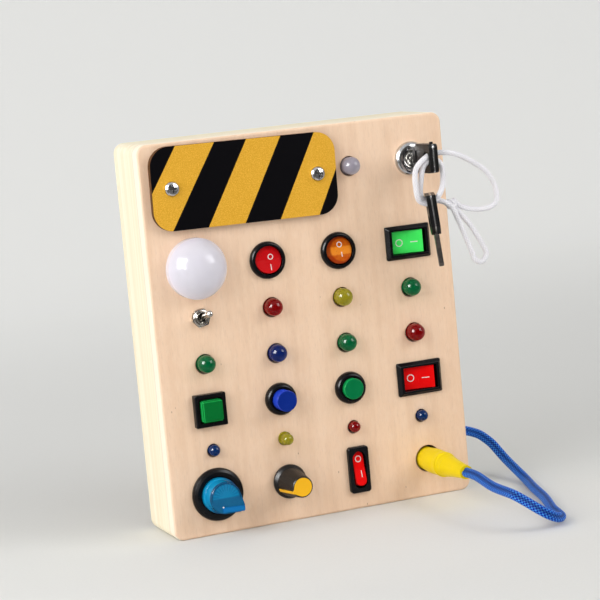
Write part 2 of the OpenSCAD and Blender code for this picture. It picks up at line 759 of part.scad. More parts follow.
// A key's plastic head, flat in XY, from y = 0 at the blade up to its rounded end
module flat_head() {
    half = key_head_w/2;
    shoulder = 4;
    end_r = 1.4;
    difference() {
        translate([head_rise, 0, -key_head_t/2]) {
            linear_extrude(key_head_t)
                polygon(concat([[-half + shoulder, 0], [half - shoulder, 0], [half, shoulder]],
                    moved(arc_points(end_r, end_r, 0, 90, 4), half - end_r, key_head_len - end_r),
                    moved(arc_points(end_r, end_r, 90, 180, 4), end_r - half, key_head_len - end_r),
                    [[-half, shoulder]]));
            translate([half - 0.5, key_head_len - 2.4, key_head_t/2 - 0.6]) cube([1.5, 1.2, 1.2]);
        }
        translate([head_rise, key_head_len - key_hole_inset, -key_head_t/2 - 1])
            cylinder(r = key_hole_r, h = key_head_t + 2);
        translate([-tang_w/2 - run_gap, -1, -tang_t/2 - run_gap])
            cube([tang_w + 2*run_gap, tang_len + 1 + run_gap, tang_t + 2*run_gap]);
        for (side = [0, 180]) rotate([0, side, 0])
            translate([-half + 2.2, shoulder - 1, key_head_t/2 - 0.4]) cube([key_head_w - 4.4, 5, 1]);
    }
}

// The key in the lock: blade edge up, head out
module in_lock() {
    at(lock_place) translate([0, 0, head_start]) rotate([90, 0, 90]) children();
}

// The spare key hangs under the first, edge on, from the string through its hole
spare_hole = [52.6, -38, 132.5];
spare_turn = -21;
spare_lean = 5;
module on_string() {
    translate(spare_hole) rotate([0, -spare_lean, 0]) rotate([0, 0, spare_turn])
        translate([0, -head_rise, -key_head_len + key_hole_inset]) rotate([90, 0, 90]) children();
}

module key_blade() {
    color("silver") in_lock() flat_blade();
}

module key_head() {
    color("black") in_lock() flat_head();
}

module spare_key_blade() {
    color("silver") on_string() flat_blade();
}

module spare_key_head() {
    color("black") on_string() flat_head();
}

// ---------- lamps ----------

// Lamp with a domed lens: lens radius r, standing out by out, flange at the bottom
module lamp(r, out, bottom, flange_r, flange_t) {
    rotate_extrude() {
        translate([0, bottom]) square([flange_r, flange_t]);
        translate([0, bottom]) square([r, out - r - bottom]);
        translate([0, out - r]) intersection() {
            circle(r = r);
            square(2*r);
        }
    }
    for (side = [-1, 1])
        translate([side*r/2 - lamp_leg_w/2, -lamp_leg_w/2, bottom - lamp_leg_len])
            cube([lamp_leg_w, lamp_leg_w, lamp_leg_len]);
}

module large_lamp() {
    lamp(lamp_r, lamp_out, -panel_t, lamp_flange_r, lamp_flange_t);
}

module small_lamp() {
    lamp(small_lamp_r, small_lamp_out, -panel_t, small_flange_r, small_flange_t);
}

module lamp_clear() {
    color("gainsboro") at(clear_lamp_place) large_lamp();
}

module lamps_red() {
    color("firebrick") for (place = red_lamp_places) at(place) large_lamp();
}

module lamp_yellow() {
    color("olive") at(yellow_lamp_place) large_lamp();
}

module lamps_green() {
    color("seagreen") for (place = green_lamp_places) at(place) large_lamp();
}

module lamp_blue() {
    color("midnightblue") at(blue_lamp_place) large_lamp();
}

module small_lamps_blue() {
    color("midnightblue") for (place = small_blue_places) at(place) small_lamp();
}

// The yellow small lamp was pushed in from the front, so its flange rests on the panel
module small_lamp_yellow() {
    color("gold") at(small_yellow_place)
        lamp(small_lamp_r, loose_lamp_out, 0, small_flange_r + 0.1, small_flange_t);
}

module small_lamp_red() {
    color("firebrick") at(small_red_place) small_lamp();
}

// Frosted dome: a spherical cap on a straight rim, a hollow shell with a neck
module dome_lens() {
    ball_r = (dome_r*dome_r + dome_cap_h*dome_cap_h)/(2*dome_cap_h);
    inner_ball = ball_r - dome_wall;
    centre = dome_rim_h + dome_cap_h - ball_r;
    color("whitesmoke") at(dome_place) rotate_extrude() difference() {
        union() {
            square([dome_r, dome_rim_h]);
            translate([0, -panel_t - 1]) square([dome_neck_r, panel_t + 2]);
            intersection() {
                translate([0, centre]) circle(r = ball_r, $fn = 128);
                translate([0, dome_rim_h - 0.5]) square([dome_r, dome_cap_h + 1]);
            }
        }
        translate([0, -panel_t - 2]) square([dome_neck_r - dome_wall, panel_t + 2 + dome_rim_h]);
        intersection() {
            translate([0, centre]) circle(r = inner_ball, $fn = 128);
            translate([0, dome_rim_h - 0.5]) square([dome_neck_r - dome_wall, dome_cap_h + 1]);
        }
    }
}

// Cup behind the panel that holds the dome and its lamp
module dome_base() {
    cup_r = dome_neck_r + 0.8;
    color("white") at(dome_place) translate([0, 0, -panel_t]) {
        difference() {
            translate([0, 0, -4]) cylinder(r = cup_r, h = 4);
            translate([0, 0, -2.5]) cylinder(r = dome_neck_r + run_gap, h = 3);
        }
        translate([0, 0, -2.5]) cylinder(r = 4, h = 3);
        translate([0, 0, 0.5]) cylinder(r1 = 2.6, r2 = 1.6, h = 2.5);
    }
}

// ---------- rocker switches ----------

// Rocker about the X axis: seen from the side its face is a shallow V of half length
// half_len; children() gives its outline seen from the front
module rocker(half_len, face, dish, depth, axis_len) {
    intersection() {
        rotate([90, 0, 90]) linear_extrude(axis_len + 2, center = true)
            polygon([[-half_len, face + dish], [0, face], [half_len, face + dish],
                [half_len, 0], [half_len*0.72, -depth], [-half_len*0.72, -depth], [-half_len, 0]]);
        translate([0, 0, -depth - 1]) linear_extrude(depth + face + dish + 2) children();
    }
    rotate([0, 90, 0])
        cylinder(r = rocker_pin_r, h = axis_len + 2*(move_gap + rocker_pin_hold), center = true);
}

// Bores in a housing for a rocker's two pivot pins
module pin_bores(axis_len) {
    rotate([0, 90, 0])
        cylinder(r = rocker_pin_r + run_gap, h = axis_len + 2*(move_gap + rocker_pin_hold + run_gap),
            center = true);
}

module round_housing() {
    cavity_r = round_rocker_r + move_gap;
    difference() {
        union() {
            bulged_ring(round_bezel_r, cavity_r, bezel_t);
            translate([0, 0, -round_body_d]) cylinder(r = round_body_r, h = round_body_d);
        }
        translate([0, 0, round_pivot - cavity_r - 0.3]) cylinder(r = cavity_r, h = cavity_r + 6);
        translate([0, 0, round_pivot]) pin_bores(2*round_rocker_r);
    }
    terminals(round_body_d, 6);
}

module red_round_housing() {
    color("black") at(red_round_place) round_housing();
}

module amber_round_housing() {
    color("black") at(amber_round_place) round_housing();
}

// Round rocker, its top edge pressed in
module round_rocker() {
    translate([0, 0, round_pivot]) rotate([-rocker_tilt + 1, 0, 0])
        rocker(round_rocker_r, round_face, round_dish, round_rocker_d, 2*round_rocker_r)
            circle(r = round_rocker_r);
}

module red_round_rocker() {
    color("red") at(red_round_place) round_rocker();
}

module amber_round_rocker() {
    color("darkorange") at(amber_round_place) round_rocker();
}

module rectangular_housings() {
    reach = sqrt(pow(rocker_len/2, 2) + pow(rocker_face + rocker_dish, 2));
    cavity_w = 2*(reach + 0.15);
    cavity_h = rocker_wid + 2*move_gap;
    color("black") for (place = [green_rocker_place, red_rocker_place]) at(place) {
        difference() {
            union() {
                rimmed_slab(rocker_w, rocker_h, rocker_slope + 0.3, bezel_t)
                    sloped_rim(rocker_slope + 0.3, bezel_t, rocker_slope);
                translate([-rocker_body_w/2, -rocker_body_h/2, -rocker_body_d])
                    cube([rocker_body_w, rocker_body_h, rocker_body_d + 0.5]);
            }
            translate([-cavity_w/2, -cavity_h/2, rocker_pivot - reach])
                cube([cavity_w, cavity_h, reach + 6]);
            translate([0, 0, rocker_pivot]) rotate(90) pin_bores(rocker_wid);
        }
        terminals(rocker_body_d, 6.5, 3);
    }
}

// Rectangular rocker, its left-hand end pressed in
module rectangular_rocker() {
    translate([0, 0, rocker_pivot]) rotate([0, -rocker_tilt, 0]) rotate(90)
        rocker(rocker_len/2, rocker_face, rocker_dish, 5, rocker_wid)
            square([rocker_wid, rocker_len], center = true);
}

module green_rocker() {
    color("limegreen") at(green_rocker_place) rectangular_rocker();
}

module red_rocker() {
    color("red") at(red_rocker_place) rectangular_rocker();
}

// Outline of the slim rocker's paddle: a slot shape grown by grow all round
module paddle_outline(grow) {
    r = paddle_wid/2 + grow;
    square([2*r, paddle_len - paddle_wid], center = true);
    for (side = [-1, 1]) translate([0, side*(paddle_len - paddle_wid)/2]) circle(r = r);
}

module slim_housing() {
    color("black") at(slim_place) {
        difference() {
            union() {
                rimmed_slab(slim_w, slim_h, 1.5, bezel_t) soft_rim(1.5, bezel_t, 0.7);
                translate([-slim_body_w/2, -slim_body_h/2, -rocker_body_d])
                    cube([slim_body_w, slim_body_h, rocker_body_d + 0.5]);
            }
            translate([0, 0, slim_pivot - 7]) linear_extrude(15) paddle_outline(move_gap + 0.3);
            translate([0, 0, slim_pivot]) pin_bores(paddle_wid);
        }
        rotate(90) terminals(rocker_body_d, 7);
    }
}

// Slim rocker, its upper end pressed in
module slim_rocker() {
    color("red") at(slim_place) translate([0, 0, slim_pivot]) rotate([-paddle_tilt, 0, 0])
        rocker(paddle_len/2, slim_face, slim_dish, 4.6, paddle_wid) paddle_outline(0);
}

// ---------- toggle switch ----------

module toggle_body() {
    mouth_r = 2.3;
    color("silver") at(toggle_place) {
        difference() {
            translate([0, 0, -panel_t]) cylinder(r = bushing_r, h = panel_t + bushing_out);
            translate([0, 0, lever_pivot - 2.4]) cylinder(r = lever_ball_r + run_gap, h = 8);
            translate([0, 0, bushing_out - 1]) cylinder(r1 = lever_ball_r, r2 = mouth_r, h = 1.01);
            translate([0, 0, lever_pivot]) rotate([0, 90, 0])
                cylinder(r = toggle_pin_r + run_gap, h = toggle_pin_len + 2*run_gap, center = true);
        }
        translate([-toggle_body_h/2, -toggle_body_w/2, -panel_t - toggle_body_d])
            cube([toggle_body_h, toggle_body_w, toggle_body_d]);
        rotate(90) terminals(panel_t + toggle_body_d, 3.4, 3);
    }
}

module toggle_nut() {
    color("silver") at(toggle_place) translate([0, 0, toggle_nut_t]) rotate(12)
        hex_nut(toggle_nut_af, toggle_nut_t, bushing_r + run_gap);
}

// Bat-shaped lever on a ball, tilted up
module toggle_lever() {
    color("silver") at(toggle_place) translate([0, 0, lever_pivot]) rotate([-lever_tilt, 0, 0]) {
        sphere(r = lever_ball_r);
        rotate([0, 90, 0]) cylinder(r = toggle_pin_r, h = toggle_pin_len, center = true);
        cylinder(r1 = 0.95, r2 = 1.4, h = lever_len - 1.4);
        translate([0, 0, lever_len - 1.4]) sphere(r = 1.4);
    }
}

// ---------- push buttons ----------

module square_button_housing() {
    cavity = square_cap_w + 2*move_gap;
    color("black") at(square_place) {
        difference() {
            union() {
                rimmed_slab(square_w, square_w, 1.6, button_bezel_t) sloped_rim(1.6, button_bezel_t, 1.2);
                translate([-square_body_w/2, -square_body_w/2, -button_body_d])
                    cube([square_body_w, square_body_w, button_body_d + 0.5]);
            }
            translate([-cavity/2, -cavity/2, -button_room])
                cube([cavity, cavity, button_room + button_out]);
        }
        terminals(button_body_d, 5);
    }
}

module square_button_cap() {
    cap_h = button_out + 0.3 + cap_depth;
    color("green") at(square_place) translate([0, 0, -cap_depth])
        rimmed_slab(square_cap_w, square_cap_w, 0.8, cap_h) soft_rim(0.8, cap_h, 0.5);
}

module round_button_housings() {
    color("black") for (place = [blue_button_place, green_button_place]) at(place) {
        difference() {
            union() {
                bulged_ring(button_bezel_r, button_cap_r + move_gap, button_bezel_t);
                translate([0, 0, -button_body_d]) cylinder(r = button_neck_r, h = button_body_d);
            }
            translate([0, 0, -button_room])
                cylinder(r = button_cap_r + move_gap, h = button_room + button_out);
        }
        terminals(button_body_d, 5);
    }
}

module round_cap() {
    rotate_extrude() polygon(concat([[0, -cap_depth], [button_cap_r, -cap_depth]],
        moved(arc_points(0.5, 0.5, 0, 90, 4), button_cap_r - 0.5, button_out - 0.5), [[0, button_out]]));
}

module blue_button_cap() {
    color("mediumblue") at(blue_button_place) round_cap();
}

module green_button_cap() {
    color("seagreen") at(green_button_place) translate([0, 0, -green_latched]) round_cap();
}

// Plastic nuts of the round buttons and the selector, and the square button's clip plate
module black_nuts() {
    notch_w = 2.4;
    clip_t = 1.5;
    color("dimgray") {
        for (place = [blue_button_place, green_button_place])
            at(place) translate([0, 0, -panel_t]) hex_nut(14, button_nut_t, button_neck_r + run_gap);
        at(square_place) translate([0, 0, -panel_t - clip_t]) difference() {
            linear_extrude(clip_t) square(square_body_w + 4, center = true);
            translate([0, 0, -1]) linear_extrude(clip_t + 2)
                square(square_body_w + 2*run_gap, center = true);
        }
        at(selector_place) difference() {
            translate([0, 0, -panel_t - 2.5]) cylinder(r = selector_neck_r + 2.2, h = 2.5);
            translate([0, 0, -panel_t - 4]) cylinder(r = selector_neck_r + run_gap, h = 5);
            for (turn = [0:60:300]) rotate(turn)
                translate([selector_neck_r + 1.4, -notch_w/2, -panel_t - 4]) cube([2, notch_w, 5]);
        }
    }
}

// ---------- selector ----------

module selector_housing() {
    bore = selector_stem_r + run_gap;
    lip = selector_base_r + 0.5;
    color("black") at(selector_place) {
        rotate_extrude() polygon([[bore, -selector_neck_len], [selector_neck_r, -selector_neck_len],
            [selector_neck_r, 0], [selector_r, 0], [selector_r, 1.2], [selector_r - 0.5, 2.3],
            [selector_r - 1.6, selector_bezel_t], [lip, selector_bezel_t], [lip, 1], [bore, 1]]);
        translate([0, 0, -selector_neck_len - 3]) cylinder(r = selector_neck_r, h = 3);
        translate([-selector_block_w/2, -selector_block_w/2, -selector_neck_len - 3 - selector_block_d])
            cube([selector_block_w, selector_block_w, selector_block_d]);
        terminals(selector_neck_len + 3 + selector_block_d, 8);
    }
}

// Angle between the grip's axis and its straight flanks
function grip_spread() = asin((selector_lobe_r - selector_tip_w/2)/(selector_tip + selector_lobe_back));

// Teardrop grip: a round lobe whose two straight flanks run to a blunt tip on the +X side
module teardrop() {
    lobe = selector_lobe_r;
    flank = 90 - grip_spread();
    polygon(concat([[selector_tip, -selector_tip_w/2], [selector_tip, selector_tip_w/2]],
        moved(arc_points(lobe, lobe, flank, 360 - flank, 40), -selector_lobe_back, 0)));
}

module selector_knob() {
    base_out = 6;
    color("dodgerblue") at(selector_place) rotate(selector_angle) difference() {
        union() {
            translate([0, 0, -9]) cylinder(r = selector_stem_r, h = 12);
            translate([0, 0, 1.3]) cylinder(r = selector_base_r, h = base_out - 1.3);
            translate([0, 0, base_out - 0.5]) linear_extrude(selector_out - base_out + 0.5)
                teardrop();
        }
        translate([-selector_lobe_back, 0, selector_out - 0.9]) rotate(grip_spread())
            translate([2.6, -selector_lobe_r + 0.4, 0]) cube([selector_tip, 2.1, 2]);
    }
}

// ---------- dial ----------

module dial_body() {
    color("silver") at(dial_place) {
        difference() {
            translate([0, 0, -panel_t]) cylinder(r = dial_bushing_r, h = panel_t + 2.2);
            translate([0, 0, -panel_t - 2]) cylinder(r = dial_shaft_r + run_gap, h = panel_t + 8);
        }
        difference() {
            translate([0, 0, -panel_t - dial_can_d]) cylinder(r = dial_can_r, h = dial_can_d);
            translate([0, 0, -panel_t - 3]) cylinder(r = dial_shaft_r + run_gap, h = 4);
        }
        translate([0, -dial_can_r + 2.4, -panel_t - dial_can_d]) for (i = [-1:1])
            translate([i*5 - 0.6, -dial_tag_len, 0]) cube([1.2, dial_tag_len, 1]);
    }
}

module dial_nut() {
    color("silver") at(dial_place) translate([0, 0, 2]) hex_nut(10, 2, dial_bushing_r + run_gap);
}

module dial_shaft() {
    color("lightgray") at(dial_place) translate([0, 0, -panel_t - 2.8])
        cylinder(r = dial_shaft_r, h = panel_t + 2.8 + dial_out - 3);
}

// Skirted knob: tapered, knurled grip that stands on a round skirt
module dial_knob() {
    flutes = 30;
    foot = dial_foot;
    grip_r = dial_grip_r;
    color("black") at(dial_place) rotate(dial_angle) difference() {
        rotate_extrude() polygon([[0, foot], [dial_skirt_r - 0.3, foot], [dial_skirt_r, foot + 0.4],
            [dial_skirt_r, foot + 1.6], [dial_skirt_r - 0.5, foot + 2.3], [grip_r, foot + 2.9],
            [dial_top_r, dial_out - 0.4], [dial_top_r - 0.4, dial_out], [0, dial_out]]);
        translate([0, 0, foot - 1]) cylinder(r = 6, h = 2.8);
        translate([0, 0, 0]) cylinder(r = dial_shaft_r + 0.02, h = dial_out - 2.98);
        dial_pointer();
        for (i = [1:flutes - 1]) rotate(i*360/flutes)
            translate([grip_r, 0, foot + 3.2]) rotate([0, -dial_taper, 0]) translate([-0.15, -0.2, 0])
                cube([1.4, 0.4, dial_out + 2]);
    }
}

// End disc with a tail that turns down the side of the grip as a pointer bar
module dial_pointer() {
    disc_r = dial_top_r - 0.6;
    cap_t = 0.8;
    bar_w = 1.3;
    translate([0, 0, dial_out - cap_t]) {
        cylinder(r = disc_r, h = cap_t);
        linear_extrude(cap_t) polygon([[0, -disc_r*0.7], [disc_r*0.72, -disc_r*0.7],
            [dial_top_r, -bar_w/2], [dial_top_r, bar_w/2], [disc_r*0.72, disc_r*0.7], [0, disc_r*0.7]]);
    }
    translate([dial_grip_r - 0.6, -bar_w/2, dial_foot + 3.1]) rotate([0, -dial_taper, 0])
        cube([0.9, bar_w, (dial_out - dial_foot - 3.1)/cos(dial_taper) - 0.1]);
}

module dial_cap() {
    color("gold") at(dial_place) rotate(dial_angle) dial_pointer();
}

// ---------- plug, socket and lead ----------

module socket() {
    color("dimgray") at(socket_place) {
        difference() {
            union() {
                translate([-socket_w/2, -socket_w/2, -panel_t - 2]) cube([socket_w, socket_w, 2]);
                translate([0, 0, -panel_t - socket_barrel_len])
                    cylinder(r = socket_barrel_r, h = socket_barrel_len);
            }
            translate([0, 0, -plug_depth - pin_len - 0.5])
                cylinder(r = plug_pin_r + run_gap, h = pin_len + 4);
        }
        terminals(panel_t + socket_barrel_len, 6);
    }
}

// Moulded plug: bulging grip, a step ring, and a tapered ribbed tail
module plug_body() {
    ribs = 4;
    rib_pitch = 1.3;
    step_r = plug_r + 0.45;
    tail_start = plug_r - 0.35;
    color("gold") at(socket_place) rotate_extrude() polygon(concat(
        [[0, -plug_depth], [plug_r - 0.4, -plug_depth], [plug_r, -plug_depth + 0.6], [plug_r, 0.8]],
        [for (i = [1:5]) [plug_r + 0.5*sin(i*30), 0.8 + (plug_grip - 1.6)*i/6]],
        [[step_r, plug_grip - 0.8], [step_r, plug_grip], [tail_start + 0.25, plug_grip + 0.2]],
        [for (i = [0:ribs - 1], k = [0, 1])
            [tail_start + 0.2 - 0.08*i - (k == 1 ? 0.2 : 0), plug_grip + 0.6 + rib_pitch*(i + k*0.5)]],
        [for (i = [0:6]) let (s = i/6)
            [plug_tail_r + (tail_start - 0.3 - plug_tail_r)*(1 - s)*(1 - 0.35*s),
            plug_grip + 6 + (plug_tail - 6)*s]],
        [[0, plug_grip + plug_tail]]));
}

module plug_pin() {
    color("silver") at(socket_place) translate([0, 0, -plug_depth - pin_len]) {
        translate([0, 0, 2.5]) cylinder(r = plug_pin_r, h = pin_len - 2.5);
        translate([0, 0, 1.6]) cylinder(r = plug_pin_r - 0.5, h = 0.9);
        cylinder(r1 = 0.5, r2 = plug_pin_r, h = 1.6);
    }
}

module lead_bush() {
    color("black") translate([board_w/2, lead_hole_y, lead_hole_z]) rotate([0, 90, 0]) difference() {
        union() {
            translate([0, 0, -wall_t]) cylinder(r = bush_r, h = wall_t);
            cylinder(r = bush_r + 1.3, h = bush_flange_t);
        }
        translate([0, 0, -wall_t - 1]) cylinder(r = lead_d/2 + run_gap, h = wall_t + 4);
    }
}

// The lead is cut in two where it runs back towards the board, so the plug can be drawn out
module lead_plug_side() {
    color("royalblue") cord(lead_route, lead_d, 12, 0, lead_split);
}

module lead_board_side() {
    color("royalblue")
        cord(lead_route, lead_d, 12, lead_split, len(lead_route) - 1);
}

module key_string() {
    color("lavender") cord(smooth(string_route), string_d, 8, 0, 2*len(string_route) - 2);
}

front_panel();
frame();
back_cover();
back_cover_screws();
battery_box();
battery_contacts();
battery_cells();
battery_door();
battery_door_screw();
hazard_plate();
plate_screws();
lock_housing();
lock_nut();
lock_cylinder();
key_blade();
key_head();
spare_key_blade();
spare_key_head();
key_string();
dome_lens();
dome_base();
lamp_clear();
lamps_red();
lamp_yellow();
lamps_green();
lamp_blue();
small_lamps_blue();
small_lamp_yellow();
small_lamp_red();
red_round_housing();
red_round_rocker();
amber_round_housing();
amber_round_rocker();
rectangular_housings();
green_rocker();
red_rocker();
slim_housing();
slim_rocker();
toggle_body();
toggle_nut();
toggle_lever();
square_button_housing();
square_button_cap();
round_button_housings();
blue_button_cap();
green_button_cap();
black_nuts();
selector_housing();
selector_knob();
dial_body();
dial_nut();
dial_shaft();
dial_knob();
dial_cap();
socket();
plug_body();
plug_pin();
lead_plug_side();
lead_board_side();
lead_bush();
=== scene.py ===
"""Wooden busy board: finishes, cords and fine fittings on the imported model's frame."""

import json
import logging
import math
from dataclasses import dataclass
from enum import Enum
from typing import ClassVar, Iterable, Optional, Sequence, Union

import bmesh
import bpy
from mathutils import Matrix, Vector
from mathutils.bvhtree import BVHTree


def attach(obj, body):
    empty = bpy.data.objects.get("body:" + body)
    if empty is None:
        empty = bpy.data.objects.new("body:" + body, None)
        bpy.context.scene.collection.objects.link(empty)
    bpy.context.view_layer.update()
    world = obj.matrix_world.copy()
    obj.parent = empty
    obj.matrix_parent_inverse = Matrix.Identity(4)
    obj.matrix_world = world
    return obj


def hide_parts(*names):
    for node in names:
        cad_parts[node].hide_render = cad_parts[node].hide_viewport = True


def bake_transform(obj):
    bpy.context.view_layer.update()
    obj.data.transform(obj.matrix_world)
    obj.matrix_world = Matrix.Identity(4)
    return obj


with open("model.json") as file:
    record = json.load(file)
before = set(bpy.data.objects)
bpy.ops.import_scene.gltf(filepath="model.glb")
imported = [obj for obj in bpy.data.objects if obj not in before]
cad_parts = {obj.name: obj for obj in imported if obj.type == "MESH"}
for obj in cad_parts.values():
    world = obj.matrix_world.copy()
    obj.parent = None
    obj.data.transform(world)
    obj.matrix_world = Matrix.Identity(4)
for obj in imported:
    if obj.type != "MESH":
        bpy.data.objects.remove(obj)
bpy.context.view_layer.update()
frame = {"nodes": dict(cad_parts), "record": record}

LOG = logging.getLogger("busy_board")
MM = 0.001
FACE_Y = -16.5
Point = tuple[float, float, float]
Spot = tuple[float, float]
Paint = tuple[int, int, int]
Value = Union["Wire", float, Sequence[float]]

# Places on the face, across and up from the middle of the lower edge, in millimetres
LOCK_PLACE: Spot = (54.3, 150.9)
TOGGLE_PLACE: Spot = (-49.5, 94.5)
AMBER_PLACE: Spot = (16.9, 115.0)
SELECTOR_PLACE: Spot = (-49.6, 17.7)
DIAL_PLACE: Spot = (-16.6, 18.1)
SOCKET_PLACE: Spot = (50.5, 17.35)
# Radii of the holes in the face, in millimetres
LAMP_HOLE, SMALL_LAMP_HOLE, SOCKET_HOLE, TOGGLE_HOLE = 4.15, 2.75, 5.8, 2.9
# Colour of the glued joint between the face and the sides
GLUE: Paint = (246, 214, 188)
# Depth at which the rays that find a surface start, in metres
RAY_FROM = -0.06


# ---------------------------------------------------------------- colours and graphs


def linear(paint: Paint) -> tuple[float, float, float, float]:
    """Turns a screen colour into the scene's linear light.

    Args:
        paint: red, green and blue from 0 to 255.

    Returns:
        The linear colour with full alpha.
    """
    shares = [c / 255 for c in paint]
    r, g, b = (s / 12.92 if s <= 0.04045 else ((s + 0.055) / 1.055) ** 2.4 for s in shares)
    return (r, g, b, 1.0)


def shade(paint: Paint, share: float) -> Paint:
    """Darkens a paint below a share of 1, and moves it towards white above 1.

    Args:
        paint: the colour from 0 to 255.
        share: how much of the colour's light is kept.

    Returns:
        The new colour.
    """
    if share <= 1:
        return tuple(round(c * share) for c in paint)
    return tuple(round(c + (255 - c) * (share - 1)) for c in paint)


class Wire:
    """A node's output that adds Math nodes when it is used in arithmetic."""

    def __init__(self, graph: "Graph", socket: bpy.types.NodeSocket) -> None:
        """Keeps the graph and the socket that the wire starts from."""
        self.graph = graph
        self.socket = socket

    def math(self, operation: str, *others: Value, clamp: bool = False) -> "Wire":
        """Adds one Math node whose first input is this wire.

        Args:
            operation: the Math node's operation.
            others: the further inputs, in order.
            clamp: whether the result is kept from 0 to 1.

        Returns:
            The result.
        """
        return self.graph.maths(operation, self, *others, clamp=clamp)

    def __add__(self, other: Value) -> "Wire":
        """Adds."""
        return self.math("ADD", other)

    def __radd__(self, other: Value) -> "Wire":
        """Adds from the left."""
        return self.math("ADD", other)

    def __sub__(self, other: Value) -> "Wire":
        """Subtracts."""
        return self.math("SUBTRACT", other)

    def __rsub__(self, other: Value) -> "Wire":
        """Subtracts from the left."""
        return self.graph.maths("SUBTRACT", other, self)

    def __mul__(self, other: Value) -> "Wire":
        """Multiplies."""
        return self.math("MULTIPLY", other)

    def __rmul__(self, other: Value) -> "Wire":
        """Multiplies from the left."""
        return self.math("MULTIPLY", other)

    def __truediv__(self, other: Value) -> "Wire":
        """Divides."""
        return self.math("DIVIDE", other)

    def __rtruediv__(self, other: Value) -> "Wire":
        """Divides from the left."""
        return self.graph.maths("DIVIDE", other, self)

    def __pow__(self, other: Value) -> "Wire":
        """Raises to a power."""
        return self.math("POWER", other)

    def __gt__(self, other: Value) -> "Wire":
        """1 where this is the larger, otherwise 0."""
        return self.math("GREATER_THAN", other)

    def __lt__(self, other: Value) -> "Wire":
        """1 where this is the smaller, otherwise 0."""
        return self.math("LESS_THAN", other)

    def __abs__(self) -> "Wire":
        """Drops the sign."""
        return self.math("ABSOLUTE")

    def step(self, low: float, high: float) -> "Wire":
        """Rises smoothly from 0 at low to 1 at high.

        Args:
            low: where the rise starts.
            high: where it ends, above or below low.

        Returns:
            The eased share.
        """
        node = self.graph.node(
            "ShaderNodeMapRange", {"interpolation_type": "SMOOTHSTEP"},
            {"Value": self, "From Min": low, "From Max": high, "To Min": 0.0, "To Max": 1.0},
        )
        return Wire(self.graph, node.outputs["Result"])


